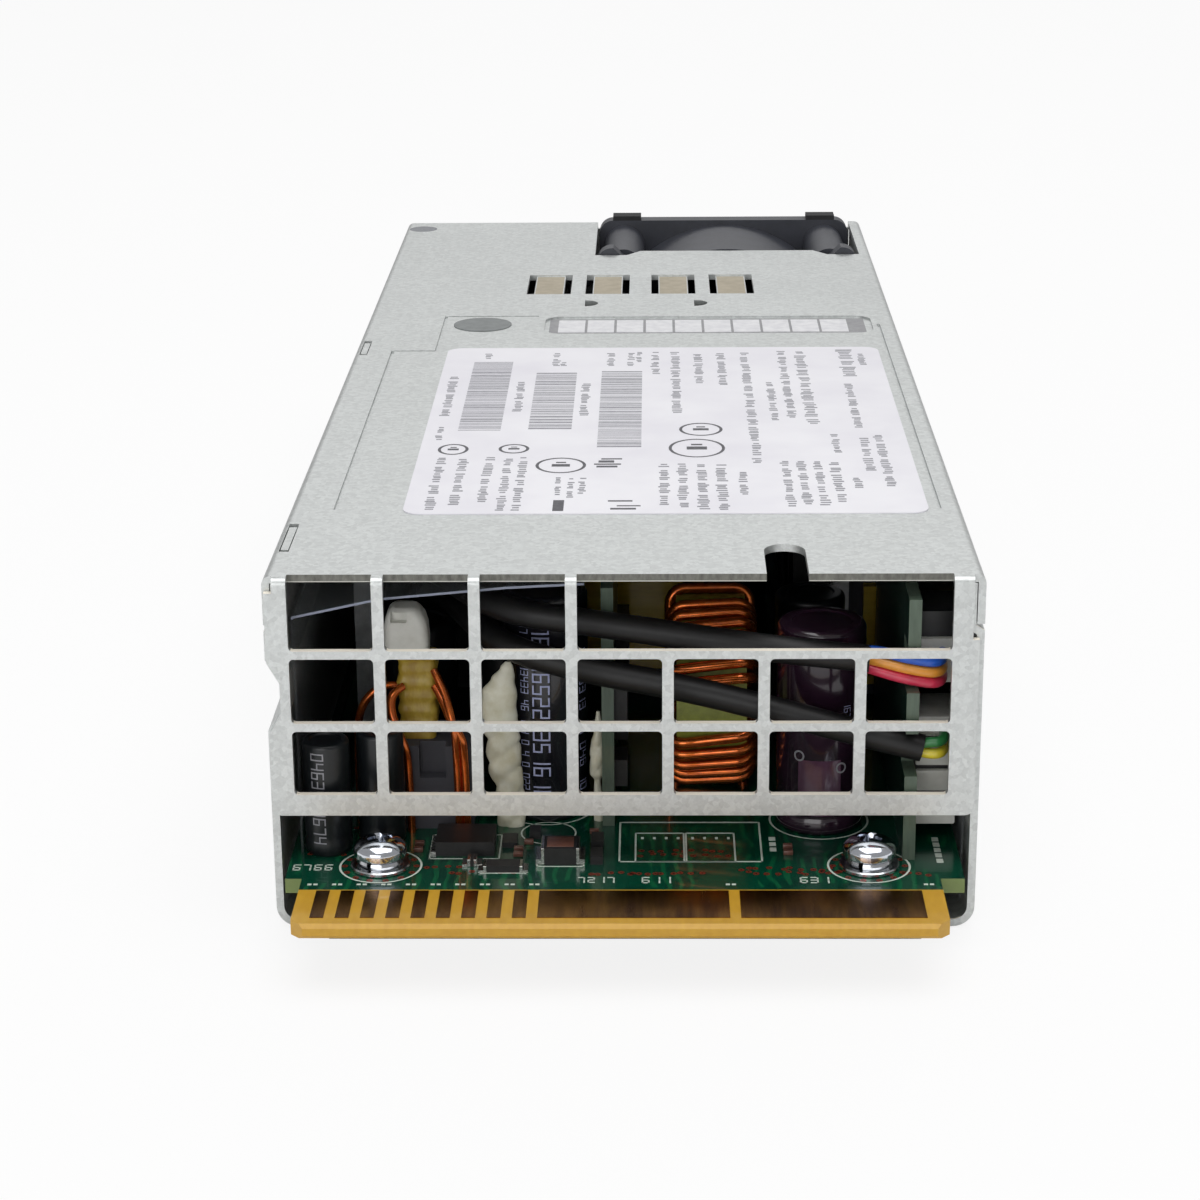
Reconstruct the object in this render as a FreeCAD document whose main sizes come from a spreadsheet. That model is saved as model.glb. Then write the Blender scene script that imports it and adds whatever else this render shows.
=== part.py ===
"""Hot-swap power supply for a server, in millimetres.

+X is to the right as seen from the card edge, +Y runs back to the fan and the inlet, and +Z is up.
The origin is the centre of the case's underside. Every size is a cell of the sheet named Sizes, and
every piece is an object whose own sizes and place are expressions on those cells.
"""

import FreeCAD, Part
import math
import os
import re

import Sketcher

Vector = FreeCAD.Vector
Rotation = FreeCAD.Rotation

# ---------------------------------------------------------------------------------------------
# Sizes that can be set by themselves
# ---------------------------------------------------------------------------------------------

SIZES = {
    # Case: a folded tray, and a cover that wraps over its front and its two upper edges.
    "case_width": 73.5,
    "case_length": 185,
    "case_height": 39,
    "sheet_gauge": 0.8,
    "sheet_gap": 0.1,           # between two sheets that lie against each other
    "seat_gap": 0.3,            # round a piece that sits in an opening
    "tray_bend_radius": 2.3,    # outside of the floor's two bends
    "cover_bend_radius": 1,
    "grille_bend_radius": 0.8,
    "skirt_depth": 5.3,         # how far the cover comes down the sides
    "joggle_rise": 0.6,         # height over which the wall steps in under the skirt
    "wall_setback": 0.9,        # walls start this far behind the grille's face
    "floor_lip_reach": 2.2,     # floor in front of the grille's face, under the card edge
    "floor_lip_margin": 5,
    "groove_height": 26,        # centre of the guide groove in the left wall
    "groove_mouth": 7.8,
    "groove_floor": 3.3,
    "groove_depth": 1.5,
    # Grille, folded down from the cover.
    "mouth_height": 13.05,      # underside of the case to the grille's lower edge
    "grille_foot": 2.3,         # plain strip under the lowest row
    "grille_left_rim": 2.56,
    "grille_right_rim": 3.3,
    "grille_left_inset": 0.25,
    "grille_right_inset": 1.25,
    "grille_right_lower_inset": 0.55,
    "grille_step_below": 6.7,   # the right edge steps in this far under the top
    "grille_bar": 1.18,
    "grille_cross_bar": 0.87,
    "window_corner": 0.5,
    "bend_setback": 1.3,        # how far the top row cuts back into the top sheet
    "notch_width": 4.3,
    "notch_length": 11.2,
    "notch_place": 16.7,
    # Pressed and punched details of the cover.
    "coin_width": 0.45,
    "coin_depth": 0.3,
    "panel_left_margin": 5.15,
    "panel_right_margin": 2.55,
    "panel_front": 24,
    "panel_jog": 97,
    "panel_jog_width": 5.8,
    "panel_rear": 117.3,
    "pill_left_margin": 24.9,
    "pill_right_margin": 3.4,
    "pill_front": 106.7,
    "pill_length": 10.3,
    "pill_corner": 2.4,
    "pill_depth": 0.3,
    "lance_front": 131.5,
    "lance_length": 13,
    "lance_slot": 1.05,
    "lance_bridge": 4.3,
    "lance_centre": 1.3,
    "lance_inner": 4.8,
    "lance_outer": 13.3,
    "lance_drop": 0.25,
    "moon_radius": 1.9,
    "moon_place": 125.4,
    "moon_spacing": 15.6,
    "tab_front_place": 13.9,
    "tab_front_length": 8,
    "tab_rear_place": 98.9,
    "tab_rear_length": 6,
    "tab_play": 0.9,
    "tab_slot_width": 1.05,
    # Stickers.
    "label_left": 12.55,
    "label_right": 3.75,
    "label_front": 22,
    "label_length": 76,
    "label_corner": 2,
    "sticker_gauge": 0.12,
    "square_count_gap": 0.35,
    "strip_end": 1.9,
    "strip_side": 1.5,
    "dot_radius": 4,
    "dot_left": 16.3,
    "dot_place": 112,
    # Main board and its card edge.
    "board_level": 5.9,
    "board_gauge": 1.6,
    "board_side_gap": 0.85,
    "board_reach": 3.6,         # board in front of the grille's face
    "tongue_reach": 14.8,
    "tongue_left_margin": 1.75,
    "tongue_right_margin": 2.5,
    "tongue_chamfer": 1.3,
    "tongue_bevel": 0.4,
    "board_rear_space": 36,
    "contact_pitch": 2.54,
    "contact_width": 1.39,
    "contact_length": 6.5,
    "contact_tip": 1.7,
    "contact_edge": 1.85,
    "ground_contact_edge": 2.2,
    "contact_gauge": 0.06,
    "contact_split": 1.1,
    "ground_contact": 18.6,
    # M3 screws on hexagonal standoffs.
    "screw_radius": 1.5,
    "screw_play": 0.1,
    "screw_head_radius": 2.75,
    "screw_head_height": 2.1,
    "screw_bite": 3.5,
    "lock_washer_radius": 2.8,
    "lock_washer_gauge": 0.8,
    "flat_washer_radius": 3.15,
    "flat_washer_gauge": 0.5,
    "standoff_across": 5.5,
    "screw_side": 11.3,
    "screw_reach": 0.4,
    "rear_screw_front": 4,
    # Small countersunk case screws.
    "case_screw_radius": 1.2,
    "case_screw_head": 2.2,
    "case_screw_length": 2.4,
    "case_screw_from_rear": 5,
    # Fan.
    "fan_proud": 1,             # fan stands this far above the cover, and is flush underneath
    "fan_depth": 25,
    "fan_side_gap": 1.4,
    "fan_flange": 3,
    "fan_wall": 2.7,
    "fan_relief": 0.2,
    "fan_corner": 2.2,
    "fan_hole_margin": 4,
    "fan_hole_radius": 1.7,
    "fan_boss_radius": 3.2,
    "fan_ear": 2.5,
    "fan_ear_slope": 2.1,
    "fan_barrel_wall": 1.9,
    "blade_tip_gap": 0.5,
    "hub_radius": 9.3,
    "hub_wall": 1,
    "hub_length": 19,
    "hub_front_gap": 1,
    "blade_gauge": 0.9,
    "blade_length": 15,
    "blade_root_turn": 48,
    "blade_tip_turn": 62,
    "fan_base_radius": 9.6,
    "fan_base_gauge": 1.6,
    "strut_width": 2.2,
    "stator_gap": 0.6,
    "stator_length": 10,
    "bearing_radius": 3,
    "bearing_length": 3,
    "shaft_radius": 1.5,
    "running_gap": 0.04,
    "boss_wall": 1,
    "fan_screw_length": 9,
    "fan_pad_gauge": 0.7,
    "fan_pad_width": 4.5,
    "honeycomb_cell": 4,
    "honeycomb_web": 0.7,
    # Inlet, on end.
    "inlet_side": 14.15,        # centre, from the left side of the case
    "inlet_height": 15.9,
    "inlet_width": 20.4,
    "inlet_tall": 27.4,
    "inlet_wall": 1.75,
    "inlet_bevel": 3.5,
    "inlet_flange": 1.2,
    "inlet_flange_gauge": 2,
    "inlet_depth": 19,
    "inlet_floor": 2.5,
    "pin_gauge": 2,
    "pin_width": 4,
    "pin_length": 13,
    "pin_spacing": 14,
    "pin_offset": 2,
    "tail_gauge": 0.8,
    "tail_length": 7,
    # Spring latch.
    "latch_pivot_from_rear": 39,
    "latch_knuckle_radius": 2.1,
    "latch_pin_radius": 1,
    "latch_gauge": 1.2,
    "latch_base": 31.15,
    "latch_height": 3.6,
    "latch_hook_reach": 2,
    "latch_hook_from_rear": 8.3,
    "latch_hook_length": 3.6,
    "latch_hook_height": 1.9,
    "latch_tail_reach": 15,
    "latch_bracket_gauge": 0.8,
    "latch_bracket_length": 6,
    "latch_slot_width": 5.9,
    "grip_length": 12,
    "grip_wall": 1,
    "knuckle_height": 1.5,
    "spring_wire": 0.5,
    # Handle and light.
    "handle_side": 28.25,
    "handle_width": 4.5,
    "handle_low": 3,
    "handle_tall": 31,
    "handle_reach": 24,
    "handle_bar": 5,
    "handle_round": 1.4,
    "handle_screw_bite": 8,
    "light_side": 20.75,
    "light_radius": 1.5,
    "light_bezel_radius": 2.2,
    "light_height": 35.4,
    # Boards that stand on the main board.
    "card_gauge": 1.3,
    "control_card_place": -1.8,
    "control_card_front": 10.2,
    "control_card_length": 36,
    "control_card_height": 27,
    "supervisor_side": 7.1,
    "supervisor_front": 1.15,
    "supervisor_length": 41,
    "supervisor_height": 28.7,
    "card_notch_depth": 4.4,
    "plug_width": 4.7,
    "plug_length": 7.5,
    # Parts behind the grille.
    "film_gauge": 0.25,
    "film_length": 136,
    "small_can_radius": 2.5,
    "small_can_height": 12.5,
    "tall_can_radius": 4.6,
    "tall_can_height": 25.5,
    "purple_can_radius": 4.7,
    "purple_can_height": 23,
    "filter_core_width": 8.5,
    "filter_core_depth": 8,
    "filter_core_height": 9.5,
    "filter_coil_width": 4.2,
    "filter_coil_height": 9,
    "filter_wire": 0.9,
    "toroid_radius": 10.2,
    "toroid_bore": 4.6,
    "toroid_width": 7.5,
    "toroid_wire": 1.2,
    "toroid_place": 9.3,
    "toroid_depth": 22,
    "cable_radius": 1.45,
    "lead_radius": 0.55,
    # Power stage.
    "heatsink_gauge": 2,
    "heatsink_height": 27,
    "secondary_height": 23.5,
    "device_width": 10,
    "device_gauge": 4.4,
    "device_height": 15,
    "device_lead": 0.8,
    "transformer_width": 34,
    "transformer_depth": 24,
    "transformer_height": 26,
    "transformer_leg": 7,
    "transformer_place": 62,
    "coil_overhang": 3,
    "bulk_radius": 10,
    "bulk_height": 27,
    "bulk_gap": 1.5,
    "bulk_front": 83,
    "can_radius": 4,
    "can_height": 18,
    "choke_radius": 11,
    "choke_bore": 5.5,
    "choke_height": 9,
    "choke_wire": 1.5,
    "choke_place": 93,
    "emi_width": 22,
    "emi_depth": 18,
    "emi_height": 20,
    "emi_leg": 4.5,
    "emi_place": 117,
    "line_capacitor_width": 18,
    "line_capacitor_depth": 8,
    "line_capacitor_height": 14,
}

# ---------------------------------------------------------------------------------------------
# Places worked out from the sizes
# ---------------------------------------------------------------------------------------------

PLACES = {
    "half": "case_width / 2",
    "front": "-case_length / 2",
    "rear": "case_length / 2",
    "wall_in": "half - sheet_gauge",
    "lid_under": "case_height - sheet_gauge",
    # walls under the skirt
    "skirt_bottom": "case_height - skirt_depth",
    "lip_out": "wall_in - sheet_gap",
    "lip_in": "lip_out - sheet_gauge",
    "lip_top": "lid_under - sheet_gap",
    "joggle_top": "skirt_bottom - sheet_gap",
    "joggle_low": "joggle_top - joggle_rise",
    "joggle_ease": "sheet_gauge * tan(atan((half - lip_out) / joggle_rise) / 2)",
    "groove_slope": "(groove_mouth - groove_floor) / 2",
    "groove_ease": "sheet_gauge * tan(atan(groove_depth / groove_slope) / 2)",
    "groove_top": "groove_height + groove_mouth / 2",
    "groove_low": "groove_height - groove_mouth / 2",
    "wall_front": "front + wall_setback",
    "bend_inner": "tray_bend_radius - sheet_gauge",
    # grille
    "grille_left": "-half + grille_left_inset",
    "grille_right": "half - grille_right_inset",
    "grille_back": "front + sheet_gauge",
    "window_width": "(case_width - grille_left_rim - grille_right_rim - 6 * grille_bar) / 7",
    "window_pitch": "window_width + grille_bar",
    "window_left": "-half + grille_left_rim",
    "row_base": "mouth_height + grille_foot",
    "window_height": "(lid_under - row_base - 2 * grille_cross_bar) / 3",
    "row_pitch": "window_height + grille_cross_bar",
    # main board
    "board_top": "board_level + board_gauge",
    "board_half": "wall_in - board_side_gap",
    "board_front": "front - board_reach",
    "board_rear": "rear - board_rear_space",
    "tongue_left": "-board_half + tongue_left_margin",
    "tongue_right": "board_half - tongue_right_margin",
    "tongue_tip": "front - tongue_reach",
    "contact_front": "tongue_tip + contact_tip",
    "contact_left": "tongue_left + contact_edge",
    "power_contact_left": "contact_left + 9 * contact_pitch",
    "ground_contact_left": "tongue_right - ground_contact_edge - ground_contact",
    "screw_place": "half - screw_side",
    "screw_row": "front - screw_reach",
    "rear_screw_row": "board_rear - rear_screw_front",
    # fan
    "fan_size": "case_height + fan_proud",
    "fan_half": "fan_size / 2",
    "fan_hole_spacing": "fan_size - 2 * fan_hole_margin",
    "fan_middle": "wall_in - fan_side_gap - fan_half",
    "fan_back": "rear - sheet_gauge",
    "fan_front": "fan_back - fan_depth",
    "fan_bore": "fan_half - fan_wall",
    "barrel_radius": "fan_bore + fan_barrel_wall",
    "relief_half": "lid_under - fan_relief - fan_half",
    "hub_front": "fan_front + hub_front_gap",
    "blade_tip": "fan_bore - blade_tip_gap",
    "bearing_bore": "shaft_radius + running_gap",
    "tube_out": "bearing_radius + running_gap + boss_wall",
    "post_front": "hub_front + hub_wall + 1",
    "stator_front": "post_front + 3",
    # rear panel
    "panel_base": "sheet_gauge + sheet_gap",
    "panel_top": "lid_under - sheet_gap",
    "panel_low_half": "wall_in - sheet_gap",
    "panel_high_half": "lip_in - sheet_gap",
    "panel_back": "rear",
    "panel_face": "rear - sheet_gauge",
    # inlet
    "inlet_middle": "-half + inlet_side",
    "cavity_half": "inlet_width / 2 - inlet_wall",
    "cavity_tall": "inlet_tall / 2 - inlet_wall",
    "inlet_face": "rear + inlet_flange_gauge",
    "inlet_back": "inlet_face - inlet_depth - inlet_flange_gauge",
    "cavity_back": "inlet_back + inlet_floor",
    # latch
    "lever_out": "-lip_in + seat_gap",
    "lever_in": "lever_out + latch_gauge",
    "pivot_place": "rear - latch_pivot_from_rear",
    "pivot_side": "lever_out + latch_knuckle_radius",
    "latch_top": "latch_base + latch_height",
    "latch_low": "latch_base - latch_bracket_gauge - sheet_gap / 2",
    "hook_front": "rear - latch_hook_from_rear - latch_hook_length / 2",
    "hook_back": "rear - latch_hook_from_rear + latch_hook_length / 2",
    "lever_tail": "rear + latch_tail_reach",
    "hook_base": "groove_top + groove_ease + seat_gap",
    "hook_top": "hook_base + latch_hook_height",
    "bracket_in": "pivot_side + latch_knuckle_radius + seat_gap + latch_bracket_gauge",
    # handle and light
    "handle_middle": "-half + handle_side",
    "handle_top": "handle_low + handle_tall",
    "handle_out": "rear + handle_reach",
    "light_place": "-half + light_side",
    # boards on the main board, and what stands beside them
    "supervisor_right": "half - supervisor_side + card_gauge / 2 + 0.05",
    "supervisor_left": "supervisor_right - card_gauge",
    "toroid_out": "toroid_radius + toroid_wire",
    "toroid_level": "board_top + seat_gap + toroid_out",
    "film_left": "-wall_in + groove_depth + groove_ease",
    # power stage
    "bulk_place": "half - 28.5",
    "heatsink_left": "-half + 7.25",
    "heatsink_right": "half - 12.75",
}

DOC = FreeCAD.newDocument("ServerPowerSupply")
SHEET = DOC.addObject("Spreadsheet::Sheet", "Sizes")
WORD = re.compile(r"[A-Za-z_][A-Za-z_0-9]*")
TURNS = {
    "X": Rotation(Vector(0, 1, 0), 90),
    "Y": Rotation(Vector(1, 0, 0), -90),
    "Z": Rotation(),
}
NODES = {}


def fill_sheet():
    """Write each size into its own cell and name the cell after it."""
    for row, (name, size) in enumerate(SIZES.items(), start=1):
        SHEET.set(f"A{row}", name)
        SHEET.set(f"B{row}", str(size))
        SHEET.setAlias(f"B{row}", name)
    DOC.recompute()


def spelled(text):
    """The expression with sizes as the sheet's cells and places written out in full."""

    def spell(match):
        word = match.group()
        if word in PLACES:
            return f"({spelled(PLACES[word])})"
        if word in SIZES:
            return f"Sizes.{word}"
        return word

    return WORD.sub(spell, str(text))


def value(text):
    """What an expression on the sizes comes to."""
    return float(SHEET.evalExpression(spelled(text)))


def bind(thing, **sizes):
    """Tie properties of an object to expressions on the sizes."""
    for name, text in sizes.items():
        thing.setExpression(name, spelled(text))
    return thing


def place(thing, at):
    """Tie an object's position to three expressions."""
    for axis, text in zip("xyz", at):
        thing.setExpression(f".Placement.Base.{axis}", spelled(text))
    return thing


# ---------------------------------------------------------------------------------------------
# Solids
# ---------------------------------------------------------------------------------------------

def block(name, x, y, z):
    """A box between the low and the high end given for each axis."""
    solid = DOC.addObject("Part::Box", name)
    (x_low, x_high), (y_low, y_high), (z_low, z_high) = x, y, z
    bind(
        solid,
        Length=f"({x_high}) - ({x_low})",
        Width=f"({y_high}) - ({y_low})",
        Height=f"({z_high}) - ({z_low})",
    )
    return place(solid, (x_low, y_low, z_low))


def rod(name, along, radius, start, length):
    """A cylinder from a start point in the direction of an axis."""
    solid = DOC.addObject("Part::Cylinder", name)
    solid.Placement = FreeCAD.Placement(Vector(), TURNS[along])
    bind(solid, Radius=radius, Height=length)
    return place(solid, start)


def cone(name, along, start_radius, end_radius, start, length):
    """A cone or taper from a start point in the direction of an axis."""
    solid = DOC.addObject("Part::Cone", name)
    solid.Placement = FreeCAD.Placement(Vector(), TURNS[along])
    bind(solid, Radius1=start_radius, Radius2=end_radius, Height=length)
    return place(solid, start)


def hexagon(name, along, across, start, length):
    """A six-sided prism, given its size across the flats."""
    solid = DOC.addObject("Part::Prism", name)
    solid.Polygon = 6
    solid.Placement = FreeCAD.Placement(Vector(), TURNS[along])
    bind(solid, Circumradius=f"({across}) / 2 / cos(30)", Height=length)
    return place(solid, start)


def group(name, pieces):
    """Several solids kept apart in one object."""
    if len(pieces) == 1:
        return pieces[0]
    bundle = DOC.addObject("Part::Compound", name)
    bundle.Links = pieces
    return bundle


def fuse(name, pieces):
    """One solid of several that touch or meet."""
    whole = DOC.addObject("Part::MultiFuse", name)
    whole.Shapes = pieces
    whole.Refine = True
    return whole


def cut(name, base, tools):
    """A solid with one or more tools taken out of it."""
    left = DOC.addObject("Part::Cut", name)
    left.Base = base
    left.Tool = group(f"{name}_tools", tools)
    left.Refine = True
    return left


def common(name, base, tool):
    """What two solids have in common."""
    shared = DOC.addObject("Part::Common", name)
    shared.Base = base
    shared.Tool = tool
    return shared


def tube(name, along, outer, inner, start, length):
    """A round tube."""
    return cut(
        name,
        rod(f"{name}_outside", along, outer, start, length),
        [rod(f"{name}_bore", along, inner, start, length)],
    )


def node(label, pieces):
    """Name a finished sub-part; a list of solids becomes one object."""
    pieces = pieces if isinstance(pieces, list) else [pieces]
    NODES[label] = group(f"{label}_node", pieces)
    return NODES[label]


def rectangle(u, v):
    """Corners of a rectangle between two low and high ends."""
    return [(u[0], v[0]), (u[1], v[0]), (u[1], v[1]), (u[0], v[1])]


class Shaped:
    """A PartDesign body whose sketches are fully tied to the sizes.

    Spans are world coordinates along the sketch plane's normal axis, low end first.
    """

    NORMALS = {"XY_Plane": 1, "XZ_Plane": -1, "YZ_Plane": 1}

    def __init__(self, name):
        self.name = name
        self.body = DOC.addObject("PartDesign::Body", f"{name}_body")
        self.count = 0

    def _sketch(self, plane, loops, level):
        """Closed outlines and circles on one of the body's own planes, at a level along its normal."""
        self.count += 1
        sketch = self.body.newObject("Sketcher::SketchObject", f"{self.name}_sketch{self.count}")
        origin = [face for face in self.body.Origin.OriginFeatures if face.Role == plane]
        sketch.AttachmentSupport = [(origin[0], "")]
        sketch.MapMode = "FlatFace"
        height = f"{self.NORMALS[plane]} * ({level})"
        sketch.setExpression(".AttachmentOffset.Base.z", spelled(height))
        shapes, ties = [], []
        for loop in loops:
            first = len(shapes)
            if isinstance(loop, tuple):
                u, v, radius = loop
                centre = Vector(value(u), value(v), 0)
                shapes.append(Part.Circle(centre, Vector(0, 0, 1), value(radius)))
                ties += [("DistanceX", first, 3, u), ("DistanceY", first, 3, v)]
                ties.append(("Radius", first, None, radius))
                continue
            points = [Vector(value(u), value(v), 0) for u, v in loop]
            for corner, (u, v) in enumerate(loop):
                shapes.append(Part.LineSegment(points[corner], points[(corner + 1) % len(points)]))
                ties += [("DistanceX", first + corner, 1, u), ("DistanceY", first + corner, 1, v)]
                ties.append(("Join", first + corner, first + (corner + 1) % len(points), None))
        sketch.addGeometry(shapes, False)
        constraints, bound = [], []
        for kind, edge, end, text in ties:
            if kind == "Join":
                constraints.append(Sketcher.Constraint("Coincident", edge, 2, end, 1))
            elif kind == "Radius":
                bound.append((len(constraints), text))
                constraints.append(Sketcher.Constraint("Radius", edge, value(text)))
            else:
                bound.append((len(constraints), text))
                constraints.append(Sketcher.Constraint(kind, -1, 1, edge, end, value(text)))
        sketch.addConstraint(constraints)
        for index, text in bound:
            sketch.setExpression(f"Constraints[{index}]", spelled(text))
        return sketch

    def _grow(self, kind, plane, loops, span, reverse):
        before = 0 if self.body.Shape.isNull() else self.body.Shape.Volume
        sketch = self._sketch(plane, loops, span[0])
        feature = self.body.newObject(f"PartDesign::{kind}", f"{self.name}_{kind}{self.count}")
        feature.Profile = sketch
        feature.Reversed = reverse
        feature.Length = value(f"({span[1]}) - ({span[0]})")
        feature.setExpression("Length", spelled(f"({span[1]}) - ({span[0]})"))
        self.body.Tip = feature
        DOC.recompute()
        change = self.body.Shape.Volume - before
        if abs(change) < 0.001 or (change > 0) != (kind == "Pad"):
            raise ValueError(f"{feature.Name} changed the volume by {change}")
        return self

    def pad(self, plane, loops, span):
        """Add material over a span."""
        return self._grow("Pad", plane, loops, span, self.NORMALS[plane] < 0)

    def pocket(self, plane, loops, span):
        """Take material away over a span."""
        return self._grow("Pocket", plane, loops, span, self.NORMALS[plane] > 0)

    def turn(self, kind, loops, middle):
        """Revolve or groove a profile of (radius, y) points about an axis along Y."""
        sketch = self._sketch("XY_Plane", [[(f"({middle[0]}) + ({u})", v) for u, v in loops]], middle[1])
        axis = sketch.addGeometry(Part.LineSegment(Vector(value(middle[0]), 0, 0),
                                                   Vector(value(middle[0]), 1, 0)), True)
        for end, height in ((1, "0"), (2, "1")):
            for kind_of, text in (("DistanceX", middle[0]), ("DistanceY", height)):
                index = sketch.addConstraint(
                    Sketcher.Constraint(kind_of, -1, 1, axis, end, value(text)))
                sketch.setExpression(f"Constraints[{index}]", spelled(text))
        feature = self.body.newObject(f"PartDesign::{kind}", f"{self.name}_{kind}{self.count}")
        feature.Profile = sketch
        feature.ReferenceAxis = (sketch, ["Axis0"])
        feature.Angle = 360
        self.body.Tip = feature
        DOC.recompute()
        return self

    def ease(self, kind, size, wanted):
        """Round (Fillet) or bevel (Chamfer) every edge that a test on its two ends picks."""
        edges = []
        for index, edge in enumerate(self.body.Shape.Edges, start=1):
            ends = [vertex.Point for vertex in edge.Vertexes]
            if len(ends) == 2 and wanted(ends[0], ends[1]):
                edges.append(f"Edge{index}")
        if not edges:
            raise ValueError(f"{self.name}: no edge to ease")
        self.count += 1
        shape_before = self.body.Tip
        feature = self.body.newObject(f"PartDesign::{kind}", f"{self.name}_{kind}{self.count}")
        feature.Base = (shape_before, edges)
        bind(feature, **{"Radius" if kind == "Fillet" else "Size": size})
        self.body.Tip = feature
        DOC.recompute()
        if feature.Shape.isNull():
            raise ValueError(f"{feature.Name} could not be made")
        return self


def near(a, b, slack=0.001):
    """Whether two lengths are the same but for rounding."""
    return abs(a - b) < slack


def runs_along(axis, a, b):
    """Whether two points differ along one axis only."""
    moved = [abs(a[i] - b[i]) > 0.001 for i in range(3)]
    return moved == [i == "XYZ".index(axis) for i in range(3)]


def copper_loop(middle, radial, inner, outer, side, wire):
    """One turn of a ring core's winding: a square loop round the core's section, thinner in the bore.

    radial is the turn's direction as an angle from +Z towards -Y, and the core's axis is along X.
    """
    corners = [(-side, inner), (-side, outer), (side, outer), (side, inner)]
    outline = [Vector(x, 0, r) for x, r in corners]
    hole = [Vector(x + (wire if x < 0 else -wire), 0, r + (wire if r == inner else -wire))
            for x, r in corners]
    face = Part.Face(Part.makePolygon(outline + outline[:1])).cut(
        Part.Face(Part.makePolygon(hole + hole[:1]))).Faces[0]
    spread = math.degrees(wire / outer)
    face.rotate(Vector(), Vector(1, 0, 0), radial - spread / 2)
    turn = face.revolve(Vector(), Vector(1, 0, 0), spread)
    turn.translate(middle)
    return turn


def wire_run(name, points, radius, sides=0):
    """A cable along straight runs joined by the largest tangent arcs that its runs allow.

    A number of sides gives a faceted section; otherwise the section is round.
    """
    path = [Vector(*point) for point in points]
    edges, start = [], path[0]
    for before, corner, after in zip(path, path[1:], path[2:]):
        inward = (before - corner).normalize()
        outward = (after - corner).normalize()
        shorter = min((before - corner).Length, (after - corner).Length)
        reach = 0.45 * shorter
        entry, leave = corner + inward * reach, corner + outward * reach
        half_turn = (math.pi - inward.getAngle(outward)) / 2
        bend = reach / math.tan(half_turn)
        centre = corner + (inward + outward).normalize() * math.hypot(bend, reach)
        middle = centre + (corner - centre).normalize() * bend
        edges.append(Part.LineSegment(start, entry).toShape())
        edges.append(Part.Arc(entry, middle, leave).toShape())
        start = leave
    edges.append(Part.LineSegment(start, path[-1]).toShape())
    spine = Part.Wire(edges)
    heading = (path[1] - path[0]).normalize()
    if sides:
        spin = Rotation(Vector(0, 0, 1), heading)
        rim = [path[0] + spin.multVec(Vector(radius * math.cos(2 * math.pi * k / sides),
                                             radius * math.sin(2 * math.pi * k / sides), 0))
               for k in range(sides)]
        profile = Part.makePolygon(rim + rim[:1])
    else:
        profile = Part.Wire([Part.Circle(path[0], heading, radius).toShape()])
    run = DOC.addObject("Part::Feature", name)
    run.Shape = spine.makePipeShell([profile], True, False)
    return run


def fixed(name, shapes):
    """A Part::Feature that holds shapes made with Part's own functions."""
    thing = DOC.addObject("Part::Feature", name)
    thing.Shape = shapes[0] if len(shapes) == 1 else Part.makeCompound(shapes)
    return thing


def from_front(depth):
    """The place a given distance behind the grille's face."""
    return f"front + ({depth})"


# ---------------------------------------------------------------------------------------------
# Case
# ---------------------------------------------------------------------------------------------

def fan_cutout(ahead):
    """Outline of the gap in a sheet that the fan's ears and barrel come through, open to the rear."""
    left = "fan_middle - fan_half - seat_gap"
    right = "fan_middle + fan_half + seat_gap"
    ear, reach = "fan_front - seat_gap", "(seat_gap + fan_ear + fan_ear_slope)"
    barrel = "fan_front + fan_flange - fan_relief"
    return [
        (left, f"rear + {ahead}"),
        (left, ear),
        (f"{left} + {reach}", ear),
        (f"{left} + {reach} + fan_ear_slope", barrel),
        (f"{right} - {reach} - fan_ear_slope", barrel),
        (f"{right} - {reach}", ear),
        (right, ear),
        (right, f"rear + {ahead}"),
    ]


def countersunk(name, side, at, play):
    """A countersunk screw, or with play the hole it sits in. side is the axis it is driven along."""
    sign = -1 if side in ("-X", "-Z") else 1
    along = side[-1]
    steps = {"X": (1, 0, 0), "Z": (0, 0, 1)}[along]

    def from_face(depth):
        return [f"({p}) + {sign * step} * ({depth})" for p, step in zip(at, steps)]

    head = "(case_screw_head - case_screw_radius)"
    if sign > 0:
        pieces = [
            cone(f"{name}_head", along, f"case_screw_head + {play}", f"case_screw_radius + {play}",
                 from_face("0"), head),
            rod(f"{name}_shank", along, f"case_screw_radius + {play}", from_face("0"),
                "case_screw_length"),
        ]
    else:
        pieces = [
            cone(f"{name}_head", along, f"case_screw_radius + {play}", f"case_screw_head + {play}",
                 from_face(head), head),
            rod(f"{name}_shank", along, f"case_screw_radius + {play}",
                from_face("case_screw_length"), "case_screw_length"),
        ]
    return fuse(name, pieces)


SCREW_ROW = "rear - case_screw_from_rear"
CASE_SCREWS = [
    ("-Z", ("-half + 2.9", SCREW_ROW, "case_height")),
    ("-X", ("half", SCREW_ROW, "8")),
    ("-X", ("half", SCREW_ROW, "skirt_bottom - 6")),
    ("X", ("-half", SCREW_ROW, "8")),
]


def case_screw_holes(name, picks):
    """The countersunk holes of some of the case screws, with a little play."""
    return [countersunk(f"{name}_hole{k}", *CASE_SCREWS[k], "0.02") for k in picks]


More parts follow.
